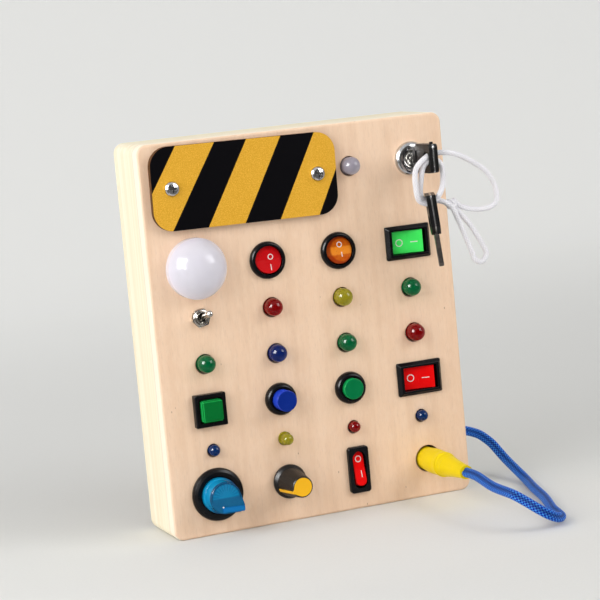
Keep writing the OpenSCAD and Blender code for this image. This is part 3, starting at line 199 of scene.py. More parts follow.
class Graph:
    """The node tree of one material or world."""

    def __init__(self, tree: bpy.types.NodeTree) -> None:
        """Empties the tree and keeps it."""
        self.tree = tree
        tree.nodes.clear()

    def node(
        self, kind: str, settings: Optional[dict] = None, inputs: Optional[dict] = None
    ) -> bpy.types.Node:
        """Adds one node.

        Args:
            kind: the node's type.
            settings: its properties, which are set first.
            inputs: values or wires by socket name or number.

        Returns:
            The node.
        """
        node = self.tree.nodes.new(kind)
        for name, value in (settings or {}).items():
            setattr(node, name, value)
        for key, value in (inputs or {}).items():
            socket = node.inputs[key]
            if isinstance(value, Wire):
                self.tree.links.new(value.socket, socket)
            else:
                socket.default_value = value
        return node

    def out(self, node: bpy.types.Node, name: Union[str, int] = 0) -> Wire:
        """One output of a node as a wire."""
        return Wire(self, node.outputs[name])

    def maths(self, operation: str, *values: Value, clamp: bool = False) -> Wire:
        """Adds one Math node.

        Args:
            operation: its operation.
            values: its inputs, in order.
            clamp: whether the result is kept from 0 to 1.

        Returns:
            The result.
        """
        settings = {"operation": operation, "use_clamp": clamp}
        return self.out(self.node("ShaderNodeMath", settings, dict(enumerate(values))))

    def mix(self, share: Value, low: Value, high: Value) -> Wire:
        """Mixes two colours.

        Args:
            share: 0 gives low and 1 gives high.
            low: a paint or a wire.
            high: a paint or a wire.

        Returns:
            The mixed colour.
        """
        ends = [e if isinstance(e, Wire) else linear(e) for e in (low, high)]
        node = self.node(
            "ShaderNodeMix", {"data_type": "RGBA"}, {0: share, 6: ends[0], 7: ends[1]}
        )
        return self.out(node, 2)

    def place(self) -> Wire:
        """The point on the object, in the model's frame, in metres."""
        return self.out(self.node("ShaderNodeTexCoord"), "Object")

    def facing(self) -> Wire:
        """The surface's direction in the model's frame."""
        return self.out(self.node("ShaderNodeTexCoord"), "Normal")

    def flatness(self) -> Wire:
        """1 where the surface faces straight out of the panel or into it, 0 on its sides."""
        _, out, _ = self.split(self.facing())
        return abs(out)

    def offset(self, centre: Spot) -> tuple[Wire, Wire]:
        """Millimetres across and up from a place on the face."""
        x, _, z = self.split(self.place())
        return x / MM - centre[0], z / MM - centre[1]

    def split(self, vector: Wire) -> tuple[Wire, Wire, Wire]:
        """The three parts of a vector."""
        node = self.node("ShaderNodeSeparateXYZ", inputs={0: vector})
        return self.out(node, 0), self.out(node, 1), self.out(node, 2)

    def stretched(self, scale: Point) -> Wire:
        """The point on the object with each axis scaled.

        Args:
            scale: the scale of each axis.

        Returns:
            The scaled point.
        """
        node = self.node(
            "ShaderNodeVectorMath", {"operation": "MULTIPLY"}, {0: self.place(), 1: scale}
        )
        return self.out(node)

    def noise(
        self, scale: float, detail: float = 2.0, vector: Optional[Wire] = None
    ) -> Wire:
        """Cloudy noise from 0 to 1.

        Args:
            scale: clouds per metre, or per unit of the vector.
            detail: how many finer layers it has.
            vector: the point, if not the one on the object.

        Returns:
            The noise.
        """
        node = self.node(
            "ShaderNodeTexNoise", inputs={
                "Vector": vector or self.place(), "Scale": scale, "Detail": detail,
                "Roughness": 0.6,
            },
        )
        return self.out(node)

    def grain(self, detail: float, scale: Point) -> Wire:
        """Noise that is drawn out along some axes.

        Args:
            detail: how many finer layers it has.
            scale: clouds per metre along each axis.

        Returns:
            The noise.
        """
        return self.noise(1.0, detail, self.stretched(scale))

    def cells(self, scale: float, vector: Optional[Wire] = None) -> Wire:
        """Distance to the nearest of scattered points.

        Args:
            scale: points per metre.
            vector: the point, if not the one on the object.

        Returns:
            The distance in cells.
        """
        node = self.node(
            "ShaderNodeTexVoronoi", inputs={"Vector": vector or self.place(), "Scale": scale}
        )
        return self.out(node, "Distance")

    def relief(self, height: Wire, depth: float, edge: float = 0.0) -> Wire:
        """A bump whose sharp edges may be softened.

        Args:
            height: the height from 0 to 1.
            depth: the height's real depth in millimetres.
            edge: radius of the softened edges in millimetres.

        Returns:
            The direction of the bumped surface.
        """
        inputs: dict = {"Height": height, "Distance": depth * MM, "Strength": 1.0}
        if edge:
            soft = self.node("ShaderNodeBevel", {"samples": 4}, {"Radius": edge * MM})
            inputs["Normal"] = self.out(soft)
        return self.out(self.node("ShaderNodeBump", inputs=inputs))

    def seen(self) -> Wire:
        """1 for what the camera sees, also by reflection or through glass, otherwise 0."""
        path = self.node("ShaderNodeLightPath")
        seen = self.out(path, "Is Camera Ray") + self.out(path, "Is Glossy Ray")
        return seen.math("ADD", self.out(path, "Is Transmission Ray"), clamp=True)

    def surface(self, shader: Wire) -> None:
        """Ends the graph in its output node."""
        self.node("ShaderNodeOutputMaterial", inputs={"Surface": shader})

    def principled(self, **inputs: Value) -> Wire:
        """The main shader.

        Args:
            inputs: its sockets by name, with _ for a space.

        Returns:
            The shader.
        """
        named = {name.replace("_", " "): value for name, value in inputs.items()}
        return self.out(self.node("ShaderNodeBsdfPrincipled", inputs=named))


# ---------------------------------------------------------------- finishes


@dataclass(frozen=True)
class Finish:
    """A finish: its material's name and the record's slot that it belongs to."""

    name: str
    slot: str
    made: ClassVar[dict[str, bpy.types.Material]] = {}

    def paint(self, graph: Graph) -> None:
        """Builds the finish's nodes."""
        raise NotImplementedError

    def material(self) -> bpy.types.Material:
        """The material, made on first use."""
        if self.name not in Finish.made:
            material = bpy.data.materials.new(self.name)
            material.use_nodes = True
            self.paint(Graph(material.node_tree))
            Finish.made[self.name] = material
        return Finish.made[self.name]


@dataclass(frozen=True)
class Plastic(Finish):
    """Moulded plastic: fine skin, faint clouding and dust, with rings or flutes on some; rings and
    flutes get painted shade in their grooves, and some get a side colour: painted light where
    lighter, painted shade where darker.
    """

    colour: Paint
    rough: float = 0.3
    coat: float = 0.0
    skin: float = 0.004
    edge: float = 0.18
    glow: float = 0.0
    shine: float = 0.07
    rings: float = 0.0
    # Side colour: painted light where it is lighter than the colour, painted shade where it is
    # darker
    rim: Optional[Paint] = None
    flutes_at: Optional[Spot] = None
    flutes: int = 30

    def paint(self, graph: Graph) -> None:
        """Builds the plastic's nodes."""
        cloud = graph.noise(140, 3)
        dust = graph.noise(1700, 2).step(0.66, 0.8)
        grain = graph.noise(5200, 2)
        base = graph.mix(cloud, shade(self.colour, 0.93), shade(self.colour, 1.03))
        base = graph.mix(dust * 0.025, base, (225, 222, 216))
        rough = (cloud - 0.5) * 0.12 + dust * 0.08 + self.rough
        depth = self.skin
        # Painted light and shade: the sides, away from the flat face, take the side colour
        if self.rim:
            base = graph.mix(graph.flatness().step(0.9, 0.6), base, self.rim)
        if self.flutes_at:
            across, up = graph.offset(self.flutes_at)
            turn = up.math("ARCTAN2", across)
            flute = (turn * self.flutes).math("COSINE").step(0.1, 0.9)
            # Painted shade in the grooves between the flutes, on the knob's sides
            base = graph.mix(flute * graph.flatness().step(0.8, 0.5) * 0.75, base, (3, 2, 3))
        if self.rings:
            _, y, _ = graph.split(graph.place())
            thread = (y / (self.rings * MM)).math("PINGPONG", 0.5)
            grain, depth = thread + grain * 0.1, self.rings * 0.12
            # Painted shade in the grooves of the rings, which are also bumped
            base = graph.mix((1 - thread * 2) * 0.25, base, shade(self.colour, 0.72))
        graph.surface(graph.principled(
            Base_Color=base, Roughness=rough, Coat_Weight=self.coat, Coat_Roughness=0.06,
            Specular_IOR_Level=self.shine, Subsurface_Weight=self.glow,
            Subsurface_Radius=(0.8, 0.8, 0.8), Subsurface_Scale=0.002,
            Normal=graph.relief(grain, depth, self.edge),
        ))


@dataclass(frozen=True)
class Metal(Finish):
    """Plated or bare metal with drawn scratches and finger marks, and painted shade in the grooves
    of turned faces.
    """

    colour: Paint
    rough: float = 0.16
    scratch: float = 0.003
    edge: float = 0.12
    turned_at: Optional[Spot] = None
    groove: float = 1.0

    def paint(self, graph: Graph) -> None:
        """Builds the metal's nodes."""
        marks = graph.noise(420, 3)
        lines = graph.grain(2, (9000, 9000, 700))
        base = graph.mix(marks.step(0.35, 0.7), shade(self.colour, 0.86), self.colour)
        rough = marks * 0.12 + lines * 0.06 + (self.rough - 0.09)
        height, depth = lines, self.scratch
        if self.turned_at:
            across, up = graph.offset(self.turned_at)
            far = (across * across + up * up) ** 0.5
            ring = (far / self.groove).math("PINGPONG", 0.5).step(0.05, 0.45)
            # Painted shade: the turned grooves are darkened almost to black
            base = graph.mix(ring.step(0.3, 0.0) * 0.7, base, (34, 32, 32))
            height, depth = ring + lines * 0.02, self.groove * 0.22
        graph.surface(graph.principled(
            Base_Color=base, Metallic=1.0, Roughness=rough,
            Normal=graph.relief(height, depth, self.edge),
        ))


@dataclass(frozen=True)
class Lens(Finish):
    """Tinted lamp lens: deep colour, painted light low on its right, painted shade at its edge,
    tinted shadow.
    """

    colour: Paint
    # Colour of the painted light, which also tints the shadow
    lit: Paint
    clear: float = 0.06

    def paint(self, graph: Graph) -> None:
        """Builds the lens's nodes."""
        slant = graph.out(graph.node("ShaderNodeLayerWeight", inputs={"Blend": 0.4}), "Facing")
        across, out, up = graph.split(graph.facing())
        swirl = graph.noise(500, 2)
        smear = graph.noise(2600, 2)
        # Painted light: lighter low on the right, where the key light gathers inside the lens
        low = (across * 0.55 - up * 0.75 - out * 0.2).step(0.3, 0.95)
        base = graph.mix(low * 0.5, self.colour, self.lit)
        base = graph.mix((swirl - 0.45).math("MULTIPLY", 0.4, clamp=True), base, self.lit)
        # Painted shade: darker where the lens is seen edge-on
        base = graph.mix(slant.step(0.75, 1.0) * 0.7, base, shade(self.colour, 0.45))
        solid = graph.principled(
            Base_Color=base, Roughness=smear * 0.02 + 0.015, Transmission_Weight=self.clear,
            IOR=1.5, Specular_IOR_Level=0.2, Normal=graph.relief(swirl, 0.0015),
        )
        through = graph.node(
            "ShaderNodeBsdfTransparent", inputs={"Color": linear(shade(self.lit, 1.25))}
        )
        shadow = graph.out(graph.node("ShaderNodeLightPath"), "Is Shadow Ray") * 0.55
        graph.surface(graph.out(graph.node(
            "ShaderNodeMixShader", inputs={0: shadow, 1: solid, 2: graph.out(through)}
        )))


@dataclass(frozen=True)
class Opal(Finish):
    """Milky moulded lens that light sinks into."""

    colour: Paint

    def paint(self, graph: Graph) -> None:
        """Builds the milky lens's nodes."""
        cloud = graph.noise(160, 3)
        skin = graph.noise(3000, 2)
        base = graph.mix(cloud, shade(self.colour, 0.975), shade(self.colour, 1.08))
        graph.surface(graph.principled(
            Base_Color=base, Roughness=skin * 0.01 + 0.012, Specular_IOR_Level=0.22,
            Subsurface_Weight=0.35, Subsurface_Radius=(0.9, 0.9, 1.0),
            Subsurface_Scale=0.004, Normal=graph.relief(skin, 0.0002),
        ))


@dataclass(frozen=True)
class BirchFace(Finish):
    """Birch face veneer: fine upright grain, small flecks, burnt edges round the holes with painted
    shade in them, widest low on the left.
    """

    light: Paint = (246, 213, 183)
    dark: Paint = (237, 201, 169)
    burnt: Paint = (86, 52, 30)
    width: float = 141.0
    height: float = 170.0
    edge: float = 2.5
    seam: float = -10.6
    reach: float = 1.0
    # Shift of the rings round the holes, down and to the left, so their painted shade is widest
    # there
    shade_drift: Spot = (-0.15, -0.3)
    holes: tuple[tuple[float, float, float], ...] = ()

    def paint(self, graph: Graph) -> None:
        """Builds the veneer's nodes."""
        x, y, z = graph.split(graph.place())
        flat = graph.flatness()
        bands = graph.grain(3, (190, 190, 11))
        pores = graph.grain(3, (2100, 2100, 300))
        mottle = graph.grain(4, (520, 520, 240))
        base = graph.mix(bands.step(0.25, 0.75), self.dark, self.light)
        base = graph.mix(mottle.step(0.4, 0.75) * 0.35, base, shade(self.light, 1.12))
        base = graph.mix(pores.step(0.5, 0.74) * 0.25, base, shade(self.dark, 0.88))
        fleck = graph.cells(1.0, graph.stretched((260, 260, 120)))
        spot = fleck.step(0.085, 0.03) * (graph.noise(70, 1) > 0.56)
        base = graph.mix(spot * 0.65, base, (138, 96, 66))
        ring = graph.maths("MINIMUM", self.reach, self.reach)
        for hole_x, hole_z, radius in self.holes:
            across, up = x / MM - (hole_x + self.shade_drift[0]), z / MM - (hole_z + self.shade_drift[1])
            far = (across ** 2 + up ** 2) ** 0.5
            ring = ring.math("MINIMUM", far - radius)
        singe = ring.step(1.1, 0.1) * graph.noise(420, 2).step(0.3, 0.65)
        base = graph.mix(singe * 0.35, base, (186, 128, 76))
        # Dark edge round each hole: partly burnt wood, partly painted shade of the gap round the
        # part, widest low on the left
        base = graph.mix(ring.step(0.22, -0.05) * 0.9, base, (66, 36, 22))
        inside = (abs(x) < (self.width / 2 - self.edge) * MM) * (z > self.edge * MM)
        inside = inside * (z < (self.height - self.edge) * MM)
        wall = flat.step(0.8, 0.3) * inside
        char = graph.mix(graph.grain(2, (900, 200, 900)), self.burnt, (150, 100, 62))
        base = graph.mix(wall, base, char)
        side = flat.step(0.75, 0.35) * (1 - inside)
        ply = (y / MM + 0.15 * graph.noise(240, 2)).math("PINGPONG", 1.0).step(0.0, 0.14)
        edge = graph.mix(ply, (244, 222, 194), (255, 244, 222))
        seam = abs(y / MM - self.seam).step(0.6, 0.1)
        base = graph.mix(side, base, graph.mix(seam * 0.7, edge, GLUE))
        height = pores * 0.7 + spot * 0.6
        graph.surface(graph.principled(
            Base_Color=base, Roughness=pores * 0.14 + 0.5, Specular_IOR_Level=0.35,
            Normal=graph.relief(height, 0.025, 0.25),
        ))


@dataclass(frozen=True)
class SawnWood(Finish):
    """Pale solid wood whose grain runs along each side of the box."""

    light: Paint = (252, 244, 219)
    dark: Paint = (247, 232, 201)
    seam: float = -10.4

    def paint(self, graph: Graph) -> None:
        """Builds the wood's nodes."""
        _, y, _ = graph.split(graph.place())
        across, _, _ = graph.split(graph.facing())
        upright = abs(across) > 0.7
        rings = graph.grain(3, (420, 420, 7))
        level = graph.grain(3, (7, 420, 420))
        grain = rings * upright + level * (1 - upright)
        fine = graph.grain(3, (2400, 2400, 110))
        base = graph.mix(grain.step(0.34, 0.7), self.dark, self.light)
        base = graph.mix(fine.step(0.55, 0.78) * 0.3, base, shade(self.dark, 0.9))
        seam = abs(y / MM - self.seam).step(0.6, 0.1)
        base = graph.mix(seam * 0.7, base, GLUE)
        graph.surface(graph.principled(
            Base_Color=base, Roughness=fine * 0.12 + 0.52, Specular_IOR_Level=0.3,
            Normal=graph.relief(fine * 0.6 + grain * 0.4, 0.03, 0.25),
        ))


@dataclass(frozen=True)
class BackPly(Finish):
    """Plain plywood of the back cover with a coarse upright grain."""

    light: Paint = (232, 203, 166)
    dark: Paint = (205, 168, 126)

    def paint(self, graph: Graph) -> None:
        """Builds the plywood's nodes."""
        wave = graph.grain(4, (150, 150, 6))
        pores = graph.grain(3, (2200, 2200, 80))
        knot = graph.cells(18).step(0.1, 0.04)
        base = graph.mix(wave.step(0.3, 0.7), self.dark, self.light)
        base = graph.mix(pores.step(0.5, 0.8) * 0.35, base, shade(self.dark, 0.8))
        base = graph.mix(knot * 0.4, base, (150, 104, 66))
        graph.surface(graph.principled(
            Base_Color=base, Roughness=pores * 0.15 + 0.55,
            Normal=graph.relief(pores, 0.05, 0.2),
        ))


@dataclass(frozen=True)
class HazardPrint(Finish):
    """Speckled yellow board with slanting near-black bands and singed edges."""

    yellow: Paint = (240, 178, 48)
    black: Paint = (3, 2, 6)
    middle: float = 150.0
    edges: tuple[tuple[float, float], ...] = (
        (-65.8, 0.64), (-47.9, 0.62), (-32.5, 0.58), (-16.3, 0.55), (-0.4, 0.53), (17.2, 0.50),
    )

    def paint(self, graph: Graph) -> None:
        """Builds the printed board's nodes."""
        across, up = graph.offset((0.0, self.middle))
        wobble = (graph.noise(1300, 2) - 0.5) * 0.25
        past = [(across + wobble - up * slope - start).step(-0.08, 0.08)
                for start, slope in self.edges]
        band = (1 - past[0]) + (past[1] - past[2]) + (past[3] - past[4]) + past[5]
        speck = graph.noise(2300, 3)
        pale = shade(self.yellow, 1.12)
        yellow = graph.mix(speck.step(0.4, 0.72), shade(self.yellow, 0.9), pale)
        black = graph.mix(speck.step(0.68, 0.84) * 0.16, self.black, (150, 140, 130))
        face = graph.mix(band, yellow, black)
        singed = graph.mix(graph.noise(600, 2), (58, 36, 24), (120, 80, 44))
        base = graph.mix(graph.flatness().step(0.8, 0.5), face, singed)
        graph.surface(graph.principled(
            Base_Color=base, Roughness=speck * 0.16 + 0.46, Specular_IOR_Level=0.05,
            Normal=graph.relief(speck, 0.03, 0.15),
        ))


@dataclass(frozen=True)
class AmberLens(Finish):
    """Clear amber rocker: mottled, with a painted band of light across its middle and painted shade
    towards its edge, heaviest low on the left.
    """

    place: Spot
    # Colour of the painted light band
    glow: Paint = (248, 150, 40)
    middle: Paint = (200, 84, 4)
    deep: Paint = (150, 44, 2)

    def paint(self, graph: Graph) -> None:
        """Builds the rocker's nodes."""
        across, up = graph.offset(self.place)
        mottle = graph.noise(900, 3)
        # Painted light: a bright band across the middle, as light gathered in the clear plastic
        band = abs(up + (mottle - 0.5) * 1.2).step(2.2, 1.3)
        base = graph.mix(mottle.step(0.35, 0.7) * 0.7, self.middle, (216, 114, 16))
        base = graph.mix(band * 0.85, base, self.glow)
        base = graph.mix(mottle.step(0.62, 0.72) * 0.4, base, self.deep)
        # Painted shade towards the edge, centred up and to the right so it is heaviest low on the
        # left
        rim = ((across - 0.35) ** 2 + (up - 0.35) ** 2) ** 0.5
        base = graph.mix(rim.step(4.4, 5.4) * 0.85, base, self.deep)
        graph.surface(graph.principled(
            Base_Color=base, Roughness=mottle * 0.1 + 0.08, Specular_IOR_Level=0.25,
            Transmission_Weight=0.05, Subsurface_Weight=0.2, Subsurface_Radius=(1.0, 0.5, 0.1),
            Subsurface_Scale=0.002, Normal=graph.relief(mottle, 0.02, 0.15),
        ))


@dataclass(frozen=True)
class TintedGrip(Finish):
    """Clear blue knob: a ribbed window in its face painted lighter as light, painted light where
    light enters its left, painted shade on its sides, edges and outline.
    """

    place: Spot
    # deep is the colour of the painted shade, bright that of the painted light
    deep: Paint = (3, 46, 88)
    middle: Paint = (8, 94, 140)
    bright: Paint = (14, 146, 198)
    lobe: Spot = (-0.64, 0.48)
    grip_from: float = 11.5

    def paint(self, graph: Graph) -> None:
        """Builds the knob's nodes."""
        _, y, _ = graph.split(graph.place())
        flat, grip = graph.flatness(), FACE_Y - y / MM > self.grip_from
        across, up = graph.offset(self.place)
        over, above = across - self.lobe[0], up - self.lobe[1]
        far = (over * over + above * above) ** 0.5
        turn = above.math("ARCTAN2", over)
        rib = (turn * 24.0).math("SINE") * 0.5 + 0.5
        comb = (across / 0.62).math("PINGPONG", 0.5) * 2
        rim, face = flat.step(0.85, 0.6) * grip, flat.step(0.6, 0.9) * grip
        # The lit window: the upper part of the grip's face, painted lighter as light, with the ribs
        # drawn in it
        lit_window = up.step(0.3, 1.1) * far.step(6.5, 6.2)
        ribs = lit_window * far.step(2.0, 4.4)
        slant = graph.out(graph.node("ShaderNodeLayerWeight", inputs={"Blend": 0.3}), "Facing")
        # Painted light on the left of the base, and painted shade where the base is seen edge-on
        body = graph.mix((across - up * 0.6).step(4.5, -8.0), self.deep, self.bright)
        body = graph.mix(slant.step(0.55, 0.95) * 0.6, body, self.deep)
        cover = graph.mix(graph.noise(260, 2).step(0.3, 0.7) * 0.5, self.middle, (10, 108, 152))
        cover = graph.mix(lit_window * 0.75, cover, self.bright)
        cover = graph.mix(lit_window * comb * 0.3, cover, self.middle)
        cover = graph.mix(ribs * rib * 0.45, cover, self.middle)
        # Painted shade towards the window's edge and along the upper lobe's outline
        cover = graph.mix(lit_window * far.step(5.4, 6.3) * 0.4, cover, self.deep)
        cover = graph.mix(abs(far - 6.4).step(0.3, 0.1) * up.step(-1.0, 0.6), cover, self.deep)
        # Painted shade: the grip's sides take the deep colour
        base = graph.mix(rim * 0.85, graph.mix(face, body, cover), self.deep)
        smear = graph.noise(2400, 2)
        graph.surface(graph.principled(
            Base_Color=base, Roughness=smear * 0.08 + 0.12, Specular_IOR_Level=0.15,
            Transmission_Weight=0.05, Subsurface_Weight=0.2,
            Subsurface_Radius=(0.3, 0.7, 1.0), Subsurface_Scale=0.002,
            Normal=graph.relief(ribs * rib + smear * 0.05, 0.12, 0.2),
        ))


@dataclass(frozen=True)
class Braid(Finish):
    """Woven sleeve: two sets of strands that cross, read from the tube's own map; crests and gaps
    painted as the strands' light and shade, with painted shade along a groove on some.
    """

    light: Paint
    dark: Paint
    strands: int = 8
    pitch: float = 1.1
    rough: float = 0.3
    groove_shade: float = 0.0
    depth: float = 0.2

    def paint(self, graph: Graph) -> None:
        """Builds the sleeve's nodes."""
        along, around, _ = graph.split(graph.out(graph.node("ShaderNodeUVMap")))
        left = (along / self.pitch + around * self.strands).math("FRACT")
        right = (along / self.pitch - around * self.strands).math("FRACT")
        over = (along * 2 / self.pitch).math("FRACT") > 0.5
        ridge = (1 - abs(left * 2 - 1)) * over + (1 - abs(right * 2 - 1)) * (1 - over)
        fuzz = graph.noise(5200, 3)
        # The weave: crests take the light colour and gaps the dark one, which paints the strands'
        # light and shade as well as their pattern
        base = graph.mix(ridge.step(0.3, 0.95), self.dark, self.light)
        # Painted shade along the lead's lengthwise groove
        if self.groove_shade:
            groove_shade_mask = abs((around * (2 * math.pi)).math("COSINE")) ** 10
            base = graph.mix(groove_shade_mask * self.groove_shade, base, shade(self.dark, 0.5))
        graph.surface(graph.principled(
            Base_Color=base, Roughness=fuzz * 0.15 + self.rough, Specular_IOR_Level=0.07,
            Normal=graph.relief(ridge + fuzz * 0.2, self.depth),
        ))


@dataclass(frozen=True)
class CellWrap(Finish):
    """Shrink wrap of a plain cell: a copper-coloured band and bare metal at the ends."""

    middle: float = -3.5
    half: float = 25.0

    def paint(self, graph: Graph) -> None:
        """Builds the wrap's nodes."""
        x, _, _ = graph.split(graph.place())
        along = x / MM
        scuff = graph.noise(700, 3)
        base = graph.mix(along > 6.0, (34, 34, 38), (196, 122, 58))
        base = graph.mix(abs(along - self.middle) > self.half - 1.6, base, (196, 196, 200))
        base = graph.mix(scuff.step(0.6, 0.8) * 0.2, base, (230, 226, 220))
        graph.surface(graph.principled(
            Base_Color=base, Roughness=scuff * 0.2 + 0.2, Coat_Weight=0.3,
            Normal=graph.relief(scuff, 0.01, 0.2),
        ))


LAMP_PLACES: tuple[Spot, ...] = (
    (-16.6, 94.7), (49.0, 74.6), (49.0, 94.7), (-49.4, 74.6), (16.2, 74.6), (16.2, 94.7),
    (-16.6, 74.6), (25.1, 151.0),
)
SMALL_LAMP_PLACES: tuple[Spot, ...] = ((-49.4, 37.0), (49.0, 37.0), (-16.6, 37.0), (16.2, 37.0))
HOLES = (
    *((x, z, LAMP_HOLE) for x, z in LAMP_PLACES),
    *((x, z, SMALL_LAMP_HOLE) for x, z in SMALL_LAMP_PLACES),
    (*SOCKET_PLACE, SOCKET_HOLE),
    (*TOGGLE_PLACE, TOGGLE_HOLE),
)


class Shop:
    """Every finish of the board, by the maker's plain name."""

    birch_face = BirchFace("birch_face_veneer", "birch_face", holes=HOLES)
    sawn_wood = SawnWood("sawn_birch", "birch_edge")
    back_ply = BackPly("back_plywood", "back_ply")
    hazard = HazardPrint("hazard_print", "hazard_print")
    screw = Metal("zinc_screw", "steel_screw", (178, 178, 180), 0.28)
    chrome = Metal("chrome_plate", "chrome", (206, 206, 208), 0.13)
    lock_face = Metal("lock_face", "chrome", (200, 196, 190), 0.18,
                      turned_at=LOCK_PLACE, groove=1.7)
    nickel = Metal("nickel_plate", "chrome", (206, 202, 196), 0.16)
    nickel_nut = Metal("nickel_nut", "chrome", (214, 208, 200), 0.16,
                       turned_at=TOGGLE_PLACE, groove=1.25)
    key_steel = Metal("key_steel", "key_steel", (196, 196, 198), 0.24, 0.006)
    brass = Metal("brass_pin", "brass_pin", (214, 186, 120), 0.2)
    solder = Metal("spring_steel", "key_steel", (160, 160, 162), 0.3)
    worn_steel = Metal("worn_steel", "key_steel", (112, 106, 102), 0.34, 0.012)
    grey = Plastic("grey_abs", "grey_plastic", (58, 60, 64), 0.45, skin=0.02)
    matte = Plastic("matte_black", "black_matte", (13, 12, 13), 0.36, skin=0.012, shine=0.2)
    dial_black = Plastic("dial_black", "black_matte", (19, 16, 15), 0.34, skin=0.012, shine=0.22,
                         flutes_at=DIAL_PLACE)
    gloss = Plastic("gloss_black", "black_gloss", (8, 8, 11), 0.24, 0.0, shine=0.15)
    white = Plastic("white_abs", "white_plastic", (236, 236, 232), 0.35)
    # The side colours below are painted light on the sides where lighter, and painted shade where
    # darker, as on the pale turquoise bar
    red = Plastic("red_abs", "red_plastic", (242, 4, 6), 0.24, rim=(255, 40, 36))
    round_red = Plastic("round_red_abs", "red_plastic", (204, 6, 14), 0.26, skin=0.03)
    lime = Plastic("bright_green_abs", "bright_green", (72, 255, 106), 0.22, glow=0.1)
    amber = AmberLens("amber_lens", "amber_plastic", AMBER_PLACE)
    green = Plastic("green_abs", "green_plastic", (0, 118, 64), 0.24, rim=(22, 160, 84))
    square_green = Plastic("square_green_abs", "green_plastic", (0, 110, 44), 0.24,
                           rim=(30, 176, 82))
    blue = Plastic("blue_abs", "blue_plastic", (8, 40, 136), 0.24, rim=(34, 66, 196))
    turquoise = TintedGrip("turquoise_grip", "turquoise", SELECTOR_PLACE)
    pale_turquoise = Plastic("pale_turquoise_abs", "turquoise", (14, 116, 186), 0.2,
                             rim=(8, 74, 136))
    yellow = Plastic("yellow_abs", "yellow_plastic", (255, 190, 34), 0.3, skin=0.01)
    plug_yellow = Plastic("plug_yellow_pvc", "yellow_plastic", (255, 224, 18), 0.36, rings=0.9)
    ink = Plastic("white_ink", "white_plastic", (240, 236, 232), 0.5, skin=0.003, edge=0.0)
    opal = Opal("opal_lens", "opal_lens", (224, 219, 232))
    clear_lens = Lens("clear_lens", "clear_lens", (160, 154, 166), (206, 202, 212), 0.15)
    red_lens = Lens("red_lens", "red_lens", (122, 0, 3), (166, 4, 12))
    yellow_lens = Lens("yellow_lens", "yellow_lens", (146, 136, 26), (204, 194, 78))
    green_lens = Lens("green_lens", "green_lens", (0, 92, 50), (10, 132, 76))
    blue_lens = Lens("blue_lens", "blue_lens", (10, 30, 92), (30, 66, 150))
    small_blue_lens = Lens("small_blue_lens", "blue_lens", (2, 40, 92), (12, 64, 132))
    # The blue lead gets painted shade along its groove
    blue_cord = Braid("blue_braid", "blue_cord", (78, 172, 255), (0, 28, 172), pitch=1.5,
                      groove_shade=0.7, depth=0.3)
    white_cord = Braid("white_braid", "white_cord", (255, 254, 255), (238, 235, 242), strands=6,
                       pitch=1.5, rough=0.5)
    cells = CellWrap("cell_wrap", "cell_wrap")


# ---------------------------------------------------------------- mesh tools


@dataclass
class Tube:
    """Cord swept along a route, with a woven relief, a groove and a map of its own."""

    route: list[Vector]
    diameter: float
    sides: int
    strands: int = 6
    pitch: float = 1.2
    relief: float = 0.0
    groove: float = 0.0
    groove_to: Point = (-0.36, -0.86, 0.36)

    def rings(self) -> list[tuple[Vector, Vector, Vector]]:
        """The centre, side direction and top direction at each point of the route."""
        found: list[tuple[Vector, Vector, Vector]] = []
        side = Vector((0, 0, 1))
        for i, centre in enumerate(self.route):
            ahead = self.route[min(i + 1, len(self.route) - 1)]
            behind = self.route[max(i - 1, 0)]
            along = (ahead - behind).normalized()
            if self.groove:
                side = Vector(self.groove_to)
            side = (side - side.dot(along) * along).normalized()
            found.append((centre, side, along.cross(side)))
        return found

    def mesh(self, name: str) -> bpy.types.Mesh:
        """Builds the tube.

        Args:
            name: the mesh's name.

        Returns:
            The mesh, in metres.
        """
        verts, faces, maps = [], [], []
        run = 0.0
        rings = self.rings()
        for i, (centre, side, top) in enumerate(rings):
            if i:
                run += (centre - rings[i - 1][0]).length
            for k in range(self.sides):
                turn = 2 * math.pi * k / self.sides
                share = k / self.sides * self.strands
                weave = math.cos(2 * math.pi * (run / self.pitch + share))
                weave += math.cos(2 * math.pi * (run / self.pitch - share))
                dip = self.groove * abs(math.cos(turn)) ** 8
                radius = self.diameter / 2 * (1 + self.relief * weave / 2 - dip)
                way = math.cos(turn) * side + math.sin(turn) * top
                verts.append((centre + radius * way) * MM)
            if i:
                for k in range(self.sides):
                    a, b = (i - 1) * self.sides + k, (i - 1) * self.sides + (k + 1) % self.sides
                    faces.append((a, b, b + self.sides, a + self.sides))
                    before = run - (centre - rings[i - 1][0]).length
                    lo, hi = k / self.sides, (k + 1) / self.sides
                    maps.append(((before, lo), (before, hi), (run, hi), (run, lo)))
        faces.append(tuple(range(self.sides - 1, -1, -1)))
        faces.append(tuple(range(len(verts) - self.sides, len(verts))))
        maps += [((0, 0),) * self.sides] * 2
        mesh = bpy.data.meshes.new(name)
        mesh.from_pydata(verts, [], faces)
        layer = mesh.uv_layers.new(name="sleeve")
        for polygon, corners in zip(mesh.polygons, maps):
            polygon.use_smooth = True
            for loop, corner in zip(polygon.loop_indices, corners):
                layer.data[loop].uv = corner
        return mesh


